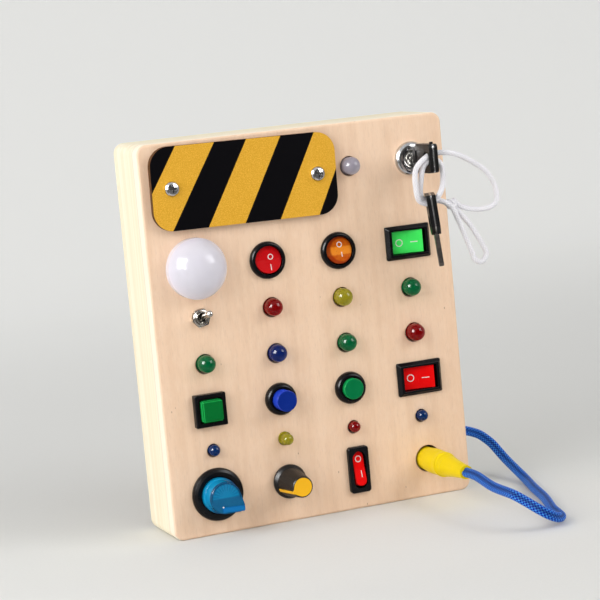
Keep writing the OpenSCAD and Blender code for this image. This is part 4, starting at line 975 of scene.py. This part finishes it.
def resampled(route: Sequence[Vector], step: float) -> list[Vector]:
    """Points at even steps on the smooth curve through a route.

    Args:
        route: the points, in millimetres.
        step: the wanted step, in millimetres.

    Returns:
        The finer route, in millimetres.
    """
    pts = list(route)
    ends = [2 * pts[0] - pts[1], *pts, 2 * pts[-1] - pts[-2]]
    fine = [pts[0]]
    for i in range(len(pts) - 1):
        a, b, c, d = ends[i : i + 4]
        count = max(1, round((c - b).length / step))
        for k in range(1, count + 1):
            t = k / count
            fine.append(0.5 * (2 * b + (c - a) * t + (2 * a - 5 * b + 4 * c - d) * t * t
                               + (3 * b - a - 3 * c + d) * t ** 3))
    return fine


def turned(profile: Sequence[Spot], steps: int) -> bmesh.types.BMesh:
    """Turns a profile round the axis that points out of the panel.

    Args:
        profile: radius and height out of the panel, in millimetres.
        steps: how many faces go round.

    Returns:
        The turned mesh about the origin, in millimetres.
    """
    bm = bmesh.new()
    loops = []
    for radius, out in profile:
        if radius < 1e-6:
            loops.append([bm.verts.new((0, -out, 0))] * steps)
            continue
        loops.append([
            bm.verts.new((radius * math.cos(2 * math.pi * k / steps), -out,
                          radius * math.sin(2 * math.pi * k / steps)))
            for k in range(steps)
        ])
    for low, high in zip(loops, loops[1:]):
        for k in range(steps):
            j = (k + 1) % steps
            corners = list(dict.fromkeys((low[k], low[j], high[j], high[k])))
            if len(corners) > 2:
                bm.faces.new(corners)
    bmesh.ops.recalc_face_normals(bm, faces=bm.faces)
    return bm


def rounded(half_w: float, half_h: float, radius: float) -> list[Spot]:
    """A rounded rectangle about the origin.

    Args:
        half_w: half its width.
        half_h: half its height.
        radius: its corners' radius.

    Returns:
        Its points, five to a corner.
    """
    points = []
    for corner, (x, z) in enumerate(((1, 1), (-1, 1), (-1, -1), (1, -1))):
        for k in range(5):
            turn = math.pi / 2 * (corner + k / 4)
            points.append((x * (half_w - radius) + radius * math.cos(turn),
                           z * (half_h - radius) + radius * math.sin(turn)))
    return points


def bezel(
    size: Spot, opening: Spot, height: float, slope: float, corner: float, skin: float = 0.04
) -> bmesh.types.BMesh:
    """A crisp frame that lies over a switch's bezel, about the origin in millimetres.

    Args:
        size: outer width and height.
        opening: the opening's width and height.
        height: how far it stands out of the panel.
        slope: width of the slanted rim.
        corner: radius of the outer corners.
        skin: how far it stands over the bezel below it.

    Returns:
        The closed frame.
    """
    w, h = size[0] / 2 + skin, size[1] / 2 + skin
    iw, ih = opening[0] / 2 + skin / 2, opening[1] / 2 + skin / 2
    soft = 0.18
    top = height + skin
    levels = [
        (w, h, corner, 0.0),
        (w, h, corner, height - slope),
        (w - soft / 3, h - soft / 3, corner, height - slope + soft),
        (w - slope + soft, h - slope + soft, corner * 0.7, top - soft / 3),
        (w - slope, h - slope, corner * 0.6, top),
        (iw + soft, ih + soft, 0.3, top),
        (iw, ih, 0.2, top - soft),
        (iw, ih, 0.2, 0.0),
    ]
    bm = bmesh.new()
    loops = [[bm.verts.new((x, -out, z)) for x, z in rounded(a, b, r)] for a, b, r, out in levels]
    for low, high in zip(loops, loops[1:] + loops[:1]):
        for k in range(len(low)):
            j = (k + 1) % len(low)
            bm.faces.new((low[k], low[j], high[j], high[k]))
    bmesh.ops.recalc_face_normals(bm, faces=bm.faces)
    return bm


class Assembly:
    """Shared ways to dress the frame's nodes and to add pieces that ride on its bodies."""

    def dress(self, finish: Finish, *nodes: str) -> None:
        """Gives CAD nodes a finish.

        Args:
            finish: the finish.
            nodes: the nodes' names.
        """
        for name in nodes:
            node = frame["nodes"][name]
            node.data.materials.clear()
            node.data.materials.append(finish.material())

    def add(
        self, name: str, made: Union[bmesh.types.BMesh, bpy.types.Mesh], finish: Finish,
        body: Optional[str], smooth: bool = True,
    ) -> bpy.types.Object:
        """Adds a piece.

        Args:
            name: its name.
            made: its mesh, in metres.
            finish: its finish.
            body: the body that it rides on, or None for a piece on no body.
            smooth: whether its faces are shaded smooth.

        Returns:
            The piece.
        """
        if isinstance(made, bmesh.types.BMesh):
            mesh = bpy.data.meshes.new(name)
            made.to_mesh(mesh)
            made.free()
            for polygon in mesh.polygons:
                polygon.use_smooth = smooth
        else:
            mesh = made
        mesh.materials.append(finish.material())
        piece = bpy.data.objects.new(name, mesh)
        bpy.context.scene.collection.objects.link(piece)
        if body:
            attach(piece, body)
        LOG.info("added %s", name)
        return piece

    def stood(self, made: bmesh.types.BMesh, place: Spot, out: float = 0.0) -> bmesh.types.BMesh:
        """Moves a mesh in millimetres to its place on the panel, in metres.

        Args:
            made: the mesh about the origin.
            place: the place on the face.
            out: height out of the face.

        Returns:
            The same mesh.
        """
        shift = Matrix.Translation((place[0], FACE_Y - out, place[1]))
        made.transform(Matrix.Scale(MM, 4) @ shift)
        return made

    def surface_of(self, node: str) -> BVHTree:
        """The CAD node's surface, for laying prints on it."""
        mesh = frame["nodes"][node].data
        return BVHTree.FromPolygons(
            [v.co for v in mesh.vertices], [tuple(p.vertices) for p in mesh.polygons]
        )

    def print_on(
        self, name: str, node: str, body: str, strips: Iterable[list[Spot]],
        finish: Finish, lift: float = 0.03,
    ) -> bpy.types.Object:
        """Lays printed strips on a node, following its surface.

        Args:
            name: the print's name.
            node: the CAD node that carries it.
            body: the node's body.
            strips: closed rows of points in pairs (inner, outer), as across and up in mm.
            finish: the ink.
            lift: the ink's height above the surface, in millimetres.

        Returns:
            The print.
        """
        tree = self.surface_of(node)
        bm = bmesh.new()
        for strip in strips:
            verts = []
            for across, up in strip:
                hit, normal, _, _ = tree.ray_cast(
                    Vector((across * MM, RAY_FROM, up * MM)), Vector((0, 1, 0))
                )
                if hit is None:
                    continue
                verts.append(bm.verts.new(hit + normal * lift * MM))
            for i in range(0, len(verts) - 3, 2):
                bm.faces.new((verts[i], verts[i + 1], verts[i + 3], verts[i + 2]))
        bmesh.ops.recalc_face_normals(bm, faces=bm.faces)
        return self.add(name, bm, finish, body, smooth=False)


class Mark(Enum):
    """The plain marks of a rocker switch."""

    RING = "ring"
    BAR_ACROSS = "bar_across"
    BAR_UP = "bar_up"


def mark_strip(mark: Mark, centre: Spot, size: float, width: float) -> list[Spot]:
    """Outlines one mark as pairs of points.

    Args:
        mark: which mark.
        centre: its middle, across and up in millimetres.
        size: the ring's outer diameter or the bar's length.
        width: the stroke's width.

    Returns:
        Pairs of points along the stroke.
    """
    x, z = centre
    strip: list[Spot] = []
    if mark is Mark.RING:
        for k in range(41):
            turn = 2 * math.pi * k / 40
            for radius in (size / 2 - width, size / 2):
                strip.append((x + radius * math.cos(turn), z + radius * math.sin(turn)))
        return strip
    for k in range(11):
        t = (k / 10 - 0.5) * size
        if mark is Mark.BAR_ACROSS:
            strip += [(x + t, z - width / 2), (x + t, z + width / 2)]
        else:
            strip += [(x - width / 2, z + t), (x + width / 2, z + t)]
    return strip


# ---------------------------------------------------------------- sub-assemblies


@dataclass
class WoodenBox(Assembly):
    """The hollow box, its back cover and the battery compartment behind it."""

    def build(self) -> None:
        """Dresses the box."""
        self.dress(Shop.birch_face, "front_panel")
        self.dress(Shop.sawn_wood, "frame")
        self.dress(Shop.back_ply, "back_cover")
        self.dress(Shop.screw, "back_cover_screws", "battery_door_screw")
        self.dress(Shop.grey, "battery_box", "battery_door")
        self.dress(Shop.solder, "battery_contacts")
        self.dress(Shop.cells, "battery_cells")


@dataclass
class StripedPlate(Assembly):
    """The plate with slanting bands and its two screws."""

    def build(self) -> None:
        """Dresses the plate."""
        self.dress(Shop.hazard, "hazard_plate")
        self.dress(Shop.chrome, "plate_screws")


@dataclass
class KeyLock(Assembly):
    """The lock, its two keys and the string tied through them."""

    string_d: float = 2.4
    string: tuple[Point, ...] = (
        (61, -37.6, 131), (65, -38, 127.5), (70.5, -38, 120.5), (75, -38, 112.6),
        (76.9, -38, 108.3), (76, -38.1, 105.4), (73.3, -38.4, 104.3), (70.7, -38.7, 106),
        (69.3, -39, 109.8), (66.9, -39.5, 116), (64, -39.5, 124),
        (61, -40, 130.2), (56.5, -38.5, 133), (52, -36, 133), (49, -36, 136), (49, -37, 142),
        (50.5, -38, 148.5), (54.5, -38.5, 151), (58.5, -38.5, 148.5), (59, -38, 141),
        (56, -40, 136), (52, -39, 132.5), (47, -38.5, 134), (45.5, -39, 140),
        (46.5, -38.5, 147.5), (51, -39, 152), (57.5, -36.5, 153.5), (65, -38.5, 152.5),
        (73, -38, 148.5), (80, -38, 143), (84, -37.5, 136), (83, -38.5, 129), (76, -38, 127),
        (67.5, -38, 129), (62.8, -38, 132.6),
    )
    knot: Point = (61.6, -38.4, 131.0)
    string_relief: float = 0.03
    knot_d: float = 1.8
    knot_size: float = 1.4
    knot_out: float = 1.2
    knot_flat: float = 0.8
    place: Spot = LOCK_PLACE
    head_start: float = 7.0
    head_w: float = 12.4
    head_len: float = 17.5
    head_rise: float = 0.6
    head_slant: float = 4.0
    head_corner: float = 1.4
    strip_half: float = 0.32
    strip_proud: float = 0.08
    strip_deep: float = 0.5
    hole_inset: float = 3.9
    spare_hole: Point = (52.6, -38.0, 132.5)
    spare_turn: float = -21.0
    spare_lean: float = 5.0

    def build_string(self) -> None:
        """Builds the string and its knot, which replace the CAD string."""
        route = resampled([Vector(p) for p in self.string], 0.5)
        tube = Tube(route, self.string_d, 12, relief=self.string_relief)
        piece = self.add("key_string_braid", tube.mesh("key_string_braid"), Shop.white_cord, "key")
        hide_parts("key_string")
        knot = self.add("key_string_knot", self.knot_tube().mesh("knot"), Shop.white_cord, "key")
        [p * MM for p in route]

    def knot_tube(self) -> Tube:
        """The knot: a three-lobed tube round the place where the ends cross."""
        route = []
        for k in range(73):
            t = 2 * math.pi * k / 72
            far = self.knot_size * (1 + 0.32 * math.cos(3 * t))
            route.append(Vector(self.knot) + Vector((
                far * math.cos(2 * t), self.knot_out * math.sin(3 * t),
                far * self.knot_flat * math.sin(2 * t),
            )))
        return Tube(route, self.knot_d, 10, relief=self.string_relief)

    def strip(self) -> bmesh.types.BMesh:
        """The edge of the metal core that shows round a key's head, flat, in millimetres."""
        half, slant, corner = self.head_w / 2, self.head_slant, self.head_corner
        outline = [(-half + slant, 0.0), (half - slant, 0.0), (half, slant)]
        for start, middle in ((0, half - corner), (90, corner - half)):
            for k in range(5):
                turn = math.radians(start + 22.5 * k)
                outline.append((middle + corner * math.cos(turn),
                                self.head_len - corner + corner * math.sin(turn)))
        outline.append((-half, slant))
        proud, deep, level = self.strip_proud, -self.strip_deep, self.strip_half
        section = ((proud, -level), (proud, level), (deep, level), (deep, -level))
        bm = bmesh.new()
        rows = []
        for i, (x, y) in enumerate(outline):
            before, after = outline[i - 1], outline[(i + 1) % len(outline)]
            out = Vector((after[1] - before[1], before[0] - after[0], 0)).normalized()
            spot = Vector((x + self.head_rise, y, 0))
            rows.append([bm.verts.new(spot + out * far + Vector((0, 0, rise)))
                         for far, rise in section])
        for i, row in enumerate(rows):
            for k in range(4):
                after = rows[(i + 1) % len(rows)]
                bm.faces.new((row[k], row[(k + 1) % 4], after[(k + 1) % 4], after[k]))
        bmesh.ops.recalc_face_normals(bm, faces=bm.faces)
        return bm

    def build_strips(self) -> None:
        """Sets the metal edge into the heads of both keys."""
        stand = Matrix.Rotation(math.pi / 2, 4, "Z") @ Matrix.Rotation(math.pi / 2, 4, "X")
        in_lock = (Matrix.Translation((self.place[0], FACE_Y - self.head_start, self.place[1]))
                   @ Matrix.Rotation(math.pi / 2, 4, "X") @ stand)
        hung = (Matrix.Translation(self.spare_hole)
                @ Matrix.Rotation(math.radians(-self.spare_lean), 4, "Y")
                @ Matrix.Rotation(math.radians(self.spare_turn), 4, "Z")
                @ Matrix.Translation((0, -self.head_rise, self.hole_inset - self.head_len)) @ stand)
        for body, pose in (("key", in_lock), ("spare_key", hung)):
            strip = self.strip()
            strip.transform(Matrix.Scale(MM, 4) @ pose)
            self.add(f"{body}_strip", strip, Shop.key_steel, body, smooth=False)

    def build(self) -> None:
        """Sets the metal edges and dresses the lock and both keys."""
        self.build_strips()
        self.dress(Shop.chrome, "lock_housing", "lock_nut")
        self.dress(Shop.lock_face, "lock_cylinder")
        self.dress(Shop.key_steel, "key_blade")
        self.dress(Shop.worn_steel, "spare_key_blade")
        self.dress(Shop.matte, "key_head", "spare_key_head")


@dataclass
class LampBank(Assembly):
    """The frosted dome and every small lamp."""

    def build(self) -> None:
        """Dresses the lamps."""
        self.dress(Shop.opal, "dome_lens")
        self.dress(Shop.white, "dome_base")
        self.dress(Shop.clear_lens, "lamp_clear")
        self.dress(Shop.red_lens, "lamps_red", "small_lamp_red")
        self.dress(Shop.yellow_lens, "lamp_yellow", "small_lamp_yellow")
        self.dress(Shop.green_lens, "lamps_green")
        self.dress(Shop.blue_lens, "lamp_blue")
        self.dress(Shop.small_blue_lens, "small_lamps_blue")


@dataclass
class RockerBank(Assembly):
    """The round, rectangular and slim rocker switches with their marks."""

    green_place: Spot = (49.4, 114.7)
    red_place: Spot = (49.4, 54.0)
    size: Spot = (21.0, 14.8)
    opening: Spot = (16.16, 10.4)
    height: float = 2.3
    slope: float = 1.5
    stroke: float = 0.36
    marked: tuple[tuple[str, Spot, Spot, Mark, float, float], ...] = (
        ("green_rocker", (45.5, 114.55), (52.1, 114.5), Mark.BAR_ACROSS, 3.3, 3.2),
        ("red_rocker", (45.4, 54.2), (52.1, 53.75), Mark.BAR_ACROSS, 3.3, 3.2),
        ("red_round_rocker", (-15.6, 116.4), (-16.0, 112.0), Mark.BAR_UP, 2.5, 2.6),
        ("amber_round_rocker", (16.7, 117.6), (17.3, 113.3), Mark.BAR_UP, 2.5, 2.0),
        ("slim_rocker", (16.5, 22.5), (17.1, 15.9), Mark.BAR_UP, 2.9, 2.8),
    )

    def build(self) -> None:
        """Dresses the switches, adds their frames and prints their marks."""
        self.dress(Shop.gloss, "red_round_housing", "amber_round_housing",
                   "rectangular_housings", "slim_housing")
        self.dress(Shop.red, "red_rocker", "slim_rocker")
        self.dress(Shop.round_red, "red_round_rocker")
        self.dress(Shop.amber, "amber_round_rocker")
        self.dress(Shop.lime, "green_rocker")
        for name, place in (("green", self.green_place), ("red", self.red_place)):
            made = bezel(self.size, self.opening, self.height, self.slope, 0.7)
            self.add(f"{name}_rocker_frame", self.stood(made, place), Shop.gloss, "board",
                     smooth=False)
        for row in self.marked:
            self.marks(*row)

    def marks(
        self, node: str, ring: Spot, bar: Spot, kind: Mark, ring_size: float, bar_size: float
    ) -> None:
        """Prints a ring and a bar on one rocker.

        Args:
            node: the rocker, whose body has the same name.
            ring: the ring's middle.
            bar: the bar's middle.
            kind: which way the bar runs.
            ring_size: the ring's diameter.
            bar_size: the bar's length.
        """
        body = next(b for b, members in frame["record"]["behaviour"]["bodies"].items()
                    if node in members)
        strips = [mark_strip(Mark.RING, ring, ring_size, self.stroke),
                  mark_strip(kind, bar, bar_size, self.stroke)]
        self.print_on(f"{node}_marks", node, body, strips, Shop.ink)


@dataclass
class Buttons(Assembly):
    """The toggle switch and the three push buttons."""

    square_place: Spot = (-49.6, 54.7)
    square_w: float = 9.2
    square_foot: float = -6.0
    square_out: float = 5.7
    square_bezel: float = 14.1
    square_hole: float = 10.2
    square_height: float = 3.1
    cap_edge: float = 0.55
    crown_inset: float = 0.9
    crown: float = 0.12

    def square_cap(self) -> bmesh.types.BMesh:
        """The square cap: soft edges and a faintly crowned face, in millimetres."""
        bm = bmesh.new()
        bmesh.ops.create_cube(bm, size=1.0)
        depth = self.square_out - self.square_foot
        for vert in bm.verts:
            vert.co.x *= self.square_w
            vert.co.z *= self.square_w
            vert.co.y = -self.square_out if vert.co.y < 0 else -self.square_foot
        top = [e for e in bm.edges if all(v.co.y < -self.square_out + 0.01 for v in e.verts)]
        rims = [e for e in bm.edges if abs(e.verts[0].co.y - e.verts[1].co.y) > depth / 2]
        bmesh.ops.bevel(bm, geom=top + rims, offset=self.cap_edge, segments=3, affect="EDGES")
        face = max(bm.faces, key=lambda f: f.calc_area() * (f.normal.y < -0.9))
        bmesh.ops.inset_region(bm, faces=[face], thickness=self.crown_inset)
        for vert in face.verts:
            vert.co.y -= self.crown
        return bm

    def build(self) -> None:
        """Adds the square button's frame and cap, and dresses the rest."""
        outer, hole = (self.square_bezel,) * 2, (self.square_hole,) * 2
        frame_made = bezel(outer, hole, self.square_height, 0.5, 0.5)
        self.add("square_frame", self.stood(frame_made, self.square_place), Shop.gloss, "board",
                 smooth=False)
        cap = self.add("square_cap", self.stood(self.square_cap(), self.square_place),
                       Shop.square_green, "square_button", smooth=False)
        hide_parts("square_button_cap")
        self.dress(Shop.nickel, "toggle_body", "toggle_lever")
        self.dress(Shop.nickel_nut, "toggle_nut")
        self.dress(Shop.gloss, "square_button_housing", "round_button_housings")
        self.dress(Shop.green, "green_button_cap")
        self.dress(Shop.blue, "blue_button_cap")
        self.dress(Shop.matte, "black_nuts")


@dataclass
class Turners(Assembly):
    """The selector and the dial."""

    place: Spot = SELECTOR_PLACE
    base_r: float = 7.8
    out: float = 13.0
    angle: float = -37.0
    lobe_r: float = 6.8
    lobe_back: float = 0.8
    tip: float = 8.6
    tip_w: float = 3.0
    grip_edge: float = 0.4
    bar_size: Point = (10.2, 1.2, 2.5)
    bar_from: Point = (-1.9, 0.2, -6.25)
    bar_edge: float = 0.28
    dot_at: Spot = (-2.3, -3.2)
    dot_lift: float = 0.25

    def spread(self) -> float:
        """The angle between the grip's middle line and its straight flanks."""
        return math.asin((self.lobe_r - self.tip_w / 2) / (self.tip + self.lobe_back))

    def outline(self) -> list[Spot]:
        """The grip's outline seen from the front, about the selector's middle."""
        flank = math.pi / 2 - self.spread()
        points = [(self.tip, -self.tip_w / 2), (self.tip, self.tip_w / 2)]
        for k in range(49):
            turn = flank + (2 * math.pi - 2 * flank) * k / 48
            points.append((self.lobe_r * math.cos(turn) - self.lobe_back,
                           self.lobe_r * math.sin(turn)))
        swing = math.radians(self.angle)
        return [(x * math.cos(swing) - y * math.sin(swing),
                 x * math.sin(swing) + y * math.cos(swing)) for x, y in points]

    def grip(self) -> bmesh.types.BMesh:
        """The knob: a stem and round base, and the grip with softened edges."""
        bm = turned([(0, -9.0), (5.0, -9.0), (5.0, 1.3), (7.4, 1.3), (self.base_r, 1.7),
                     (self.base_r, 4.9), (7.65, 5.5), (7.2, 5.9), (6.6, 6.0), (0, 6.0)], 72)
        foot = [bm.verts.new((x, -5.8, z)) for x, z in self.outline()]
        face = bm.faces.new(foot)
        grown = bmesh.ops.extrude_face_region(bm, geom=[face])["geom"]
        top = [v for v in grown if isinstance(v, bmesh.types.BMVert)]
        for vert in top:
            vert.co.y = -self.out
        rim = [e for e in bm.edges if all(v in top for v in e.verts)]
        corners = [e for v in (foot[0], foot[1]) for e in v.link_edges
                   if abs(e.verts[0].co.y - e.verts[1].co.y) > 5]
        bmesh.ops.bevel(bm, geom=rim + corners, offset=self.grip_edge, segments=3, affect="EDGES")
        bmesh.ops.recalc_face_normals(bm, faces=bm.faces)
        return bm

    def bar(self) -> bmesh.types.BMesh:
        """The pointer bar that lies along the grip's lower flank."""
        bm = bmesh.new()
        bmesh.ops.create_cube(bm, size=1.0)
        (length, thick, width), (left, sunk, low) = self.bar_size, self.bar_from
        for vert in bm.verts:
            x, y, z = vert.co
            vert.co = Vector(((x + 0.5) * length + left, y * thick - self.out + sunk,
                              (z + 0.5) * width + low))
        bmesh.ops.bevel(bm, geom=bm.edges[:], offset=self.bar_edge, segments=2, affect="EDGES")
        swing = math.radians(self.angle)
        shift = Matrix.Translation((-self.lobe_back * math.cos(swing), 0,
                                    -self.lobe_back * math.sin(swing)))
        bm.transform(shift @ Matrix.Rotation(-swing - self.spread(), 4, "Y"))
        return bm

    def build(self) -> None:
        """Adds the selector's grip, bar and dot, and dresses the rest."""
        self.dress(Shop.gloss, "selector_housing")
        knob = self.add("selector_grip", self.stood(self.grip(), self.place), Shop.turquoise,
                        "selector", smooth=False)
        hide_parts("selector_knob")
        self.add("selector_bar", self.stood(self.bar(), self.place), Shop.pale_turquoise,
                 "selector", smooth=False)
        dot = turned([(0.34, -0.3), (0.34, 0.0), (0.26, 0.2), (0, 0.28)], 16)
        spot = (self.place[0] + self.dot_at[0], self.place[1] + self.dot_at[1])
        self.add("selector_dot", self.stood(dot, spot, self.out + self.dot_lift), Shop.ink,
                 "selector")
        self.dress(Shop.nickel, "dial_body", "dial_nut", "dial_shaft")
        self.dress(Shop.dial_black, "dial_knob")
        self.dress(Shop.yellow, "dial_cap")


@dataclass
class PlugLead(Assembly):
    """The socket, the plug and the braided lead back to the right-hand side."""

    lead_d: float = 4.2
    lead_groove: float = 0.26
    route: tuple[Point, ...] = (
        (50.5, -55, 17), (50.5, -65, 17), (49.5, -82, 15.5), (50, -98.5, 15), (53, -104, 12.5),
        (56.5, -107.3, 9.5), (60, -108.3, 7), (63.8, -107.4, 4.9), (67.2, -105, 3.5),
        (70.3, -100.9, 2.7), (72.6, -93.8, 2.4), (74.8, -85.2, 2.4), (81.2, -66.5, 2.6),
        (87, -45.5, 2.6), (93, -25.5, 2.6), (94.5, -7, 7), (93.5, -1.5, 10.4), (92, 2.5, 14),
        (89.5, 5, 17), (86, 6, 19.5), (79, 6, 22), (72, 6, 22), (65, 6, 22),
    )
    board_end: Point = (0.10144, -0.05192, 0.003)
    plug_end: Point = (0.06784, -0.07712, 0.003)

    def build_lead(self) -> None:
        """Builds the lead along its route between the board and the plug."""
        route = resampled([Vector(p) for p in reversed(self.route)], 0.55)
        tube = Tube(route, self.lead_d, 36, groove=self.lead_groove)
        piece = self.add("blue_lead", tube.mesh("blue_lead"), Shop.blue_cord, None)
        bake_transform(piece)
        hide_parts("lead_plug_side", "lead_board_side")
        [p * MM for p in route]

    def build(self) -> None:
        """Dresses the plug and its socket."""
        self.dress(Shop.grey, "socket")
        self.dress(Shop.plug_yellow, "plug_body")
        self.dress(Shop.brass, "plug_pin")
        self.dress(Shop.matte, "lead_bush")


@dataclass
class Studio:
    """The camera, the soft lamps, the world and the pale floor."""

    lens: float = 131.69
    sensor: float = 36.0
    camera_at: Point = (-0.3444, -0.8929, 0.2200)
    right: Point = (0.92354, -0.37231, -0.09197)
    up: Point = (0.1337, 0.08782, 0.98712)
    ahead: Point = (0.35944, 0.92394, -0.13088)
    aim: Point = (0.0, -0.016, 0.085)
    key: Point = (-0.851, -0.312, 0.419)
    side: Point = (0.630, -0.608, 0.483)
    key_watts: float = 4.3
    side_watts: float = 2.75
    key_glint: float = 20.0
    side_glint: float = 3.2
    fill: float = 0.42
    sky: float = 0.36
    surround: float = 0.86
    backdrop_glow: float = 0.34
    pale: tuple[float, float, float, float] = (0.9, 0.9, 0.89, 1.0)
    flag_sides: Spot = (-0.75, 1.5)
    flag_profile: tuple[Spot, ...] = (
        (-0.13, 0.004), (-0.9, 0.004), (-1.2, 0.05), (-1.4, 0.3), (-1.45, 1.3),
    )
    floor_sides: Spot = (-4.0, 4.0)
    floor_front: float = -2.5
    floor_back: float = 0.9
    floor_curve: float = 0.8
    floor_top: float = 3.5

    def build_camera(self) -> None:
        """Sets the camera."""
        data = bpy.data.cameras.new("camera")
        data.lens, data.sensor_width = self.lens, self.sensor
        data.clip_start, data.clip_end = 0.05, 20.0
        camera = bpy.data.objects.new("camera", data)
        back = tuple(-c for c in self.ahead)
        turn = Matrix((self.right, self.up, back)).transposed().to_4x4()
        camera.matrix_world = Matrix.Translation(self.camera_at) @ turn
        bpy.context.scene.collection.objects.link(camera)
        bpy.context.scene.camera = camera

    def softbox(
        self, name: str, towards: Point, far: float, size: float, watts: float,
        glint: bool = False,
    ) -> None:
        """Adds a square soft lamp that faces the board.

        Args:
            name: its name.
            towards: direction from the board to the lamp.
            far: its distance in metres.
            size: its side in metres.
            watts: its power.
            glint: whether it shows in glossy surfaces only.
        """
        data = bpy.data.lights.new(name, "AREA")
        data.shape, data.size, data.energy = "SQUARE", size, watts
        lamp = bpy.data.objects.new(name, data)
        way = Vector(towards).normalized()
        lamp.location = Vector(self.aim) + way * far
        lamp.rotation_mode = "QUATERNION"
        lamp.rotation_quaternion = way.to_track_quat("Z", "Y")
        lamp.visible_diffuse = not glint
        bpy.context.scene.collection.objects.link(lamp)

    def sheet(
        self, name: str, profile: Sequence[Spot], sides: Spot, finish: str, smooth: bool = False
    ) -> tuple[bpy.types.Object, Graph]:
        """Stands a sheet on the stage, swept from side to side along a profile.

        Args:
            name: its name.
            profile: its side view, as depth and height in metres.
            sides: where it starts and ends across, in metres.
            finish: its material's name.
            smooth: whether its faces are shaded smooth.

        Returns:
            The sheet and the empty graph of its material.
        """
        bm = bmesh.new()
        rows = [[bm.verts.new((x, y, z)) for x in sides] for y, z in profile]
        for low, high in zip(rows, rows[1:]):
            bm.faces.new((low[0], low[1], high[1], high[0]))
        mesh = bpy.data.meshes.new(name)
        bm.to_mesh(mesh)
        bm.free()
        for polygon in mesh.polygons:
            polygon.use_smooth = smooth
        material = bpy.data.materials.new(finish)
        material.use_nodes = True
        mesh.materials.append(material)
        sheet = bpy.data.objects.new(name, mesh)
        bpy.context.scene.collection.objects.link(sheet)
        return sheet, Graph(material.node_tree)

    def build_flag(self) -> None:
        """Stands a dark sheet in front, which only shows in glossy surfaces."""
        flag, graph = self.sheet("dark_flag", self.flag_profile, self.flag_sides, "dark_felt")
        nap = graph.noise(300, 2)
        graph.surface(graph.principled(
            Base_Color=graph.mix(nap, (112, 110, 108), (124, 122, 120)), Roughness=1.0,
            Specular_IOR_Level=0.0,
        ))
        for kind in ("camera", "diffuse", "transmission", "volume_scatter", "shadow"):
            setattr(flag, f"visible_{kind}", False)

    def build_world(self) -> None:
        """Sets the fill, which grows towards the top, and the pale surroundings."""
        world = bpy.data.worlds.new("studio")
        world.use_nodes = True
        bpy.context.scene.world = world
        graph = Graph(world.node_tree)
        _, _, height = graph.split(graph.out(graph.node("ShaderNodeTexCoord"), "Generated"))
        fill = height.math("MAXIMUM", 0.0) * self.sky + self.fill
        ground = graph.node("ShaderNodeBackground", inputs={
            "Color": self.pale, "Strength": graph.seen() * (self.surround - fill) + fill,
        })
        graph.node("ShaderNodeOutputWorld", inputs={"Surface": graph.out(ground)})

    def build_floor(self) -> None:
        """Lays the floor and its curved backdrop."""
        back, curve = self.floor_back, self.floor_curve
        turns = (math.pi / 2 * k / 16 for k in range(1, 17))
        profile = [
            (self.floor_front, 0.0), (back, 0.0),
            *((back + curve * math.sin(t), curve - curve * math.cos(t)) for t in turns),
            (back + curve, self.floor_top),
        ]
        _, graph = self.sheet("floor", profile, self.floor_sides, "pale_paper", smooth=True)
        tooth = graph.noise(900, 2)
        _, y, _ = graph.split(graph.place())
        graph.surface(graph.principled(
            Base_Color=graph.mix(tooth, (219, 219, 217), (225, 225, 223)), Roughness=0.8,
            Specular_IOR_Level=0.1, Emission_Color=self.pale,
            Emission_Strength=graph.seen() * y.step(0.0, 1.0) * self.backdrop_glow,
            Normal=graph.relief(tooth, 0.01),
        ))

    def build(self) -> None:
        """Sets the lights, the world and the floor."""
        self.softbox("key_softbox", self.key, 0.8, 0.68, self.key_watts)
        self.softbox("side_softbox", self.side, 0.9, 0.5, self.side_watts)
        self.softbox("key_glint", self.key, 0.78, 0.42, self.key_glint, glint=True)
        self.softbox("side_glint", self.side, 0.88, 0.42, self.side_glint, glint=True)
        self.build_flag()
        self.build_world()
        self.build_floor()
        bpy.context.scene.view_settings.view_transform = "Standard"


def main() -> None:
    """Builds the camera and the cords first, then each sub-assembly in order."""
    logging.basicConfig(level=logging.INFO, format="%(message)s")
    studio = Studio()
    studio.build_camera()
    lock, lead = KeyLock(), PlugLead()
    lead.build_lead()
    lock.build_string()
    assemblies = [WoodenBox(), StripedPlate(), lock, LampBank(), RockerBank(), Buttons(),
                  Turners(), lead]
    for assembly in assemblies:
        assembly.build()
        LOG.info("built %s", type(assembly).__name__)
    studio.build()


if __name__ == "__main__":
    main()
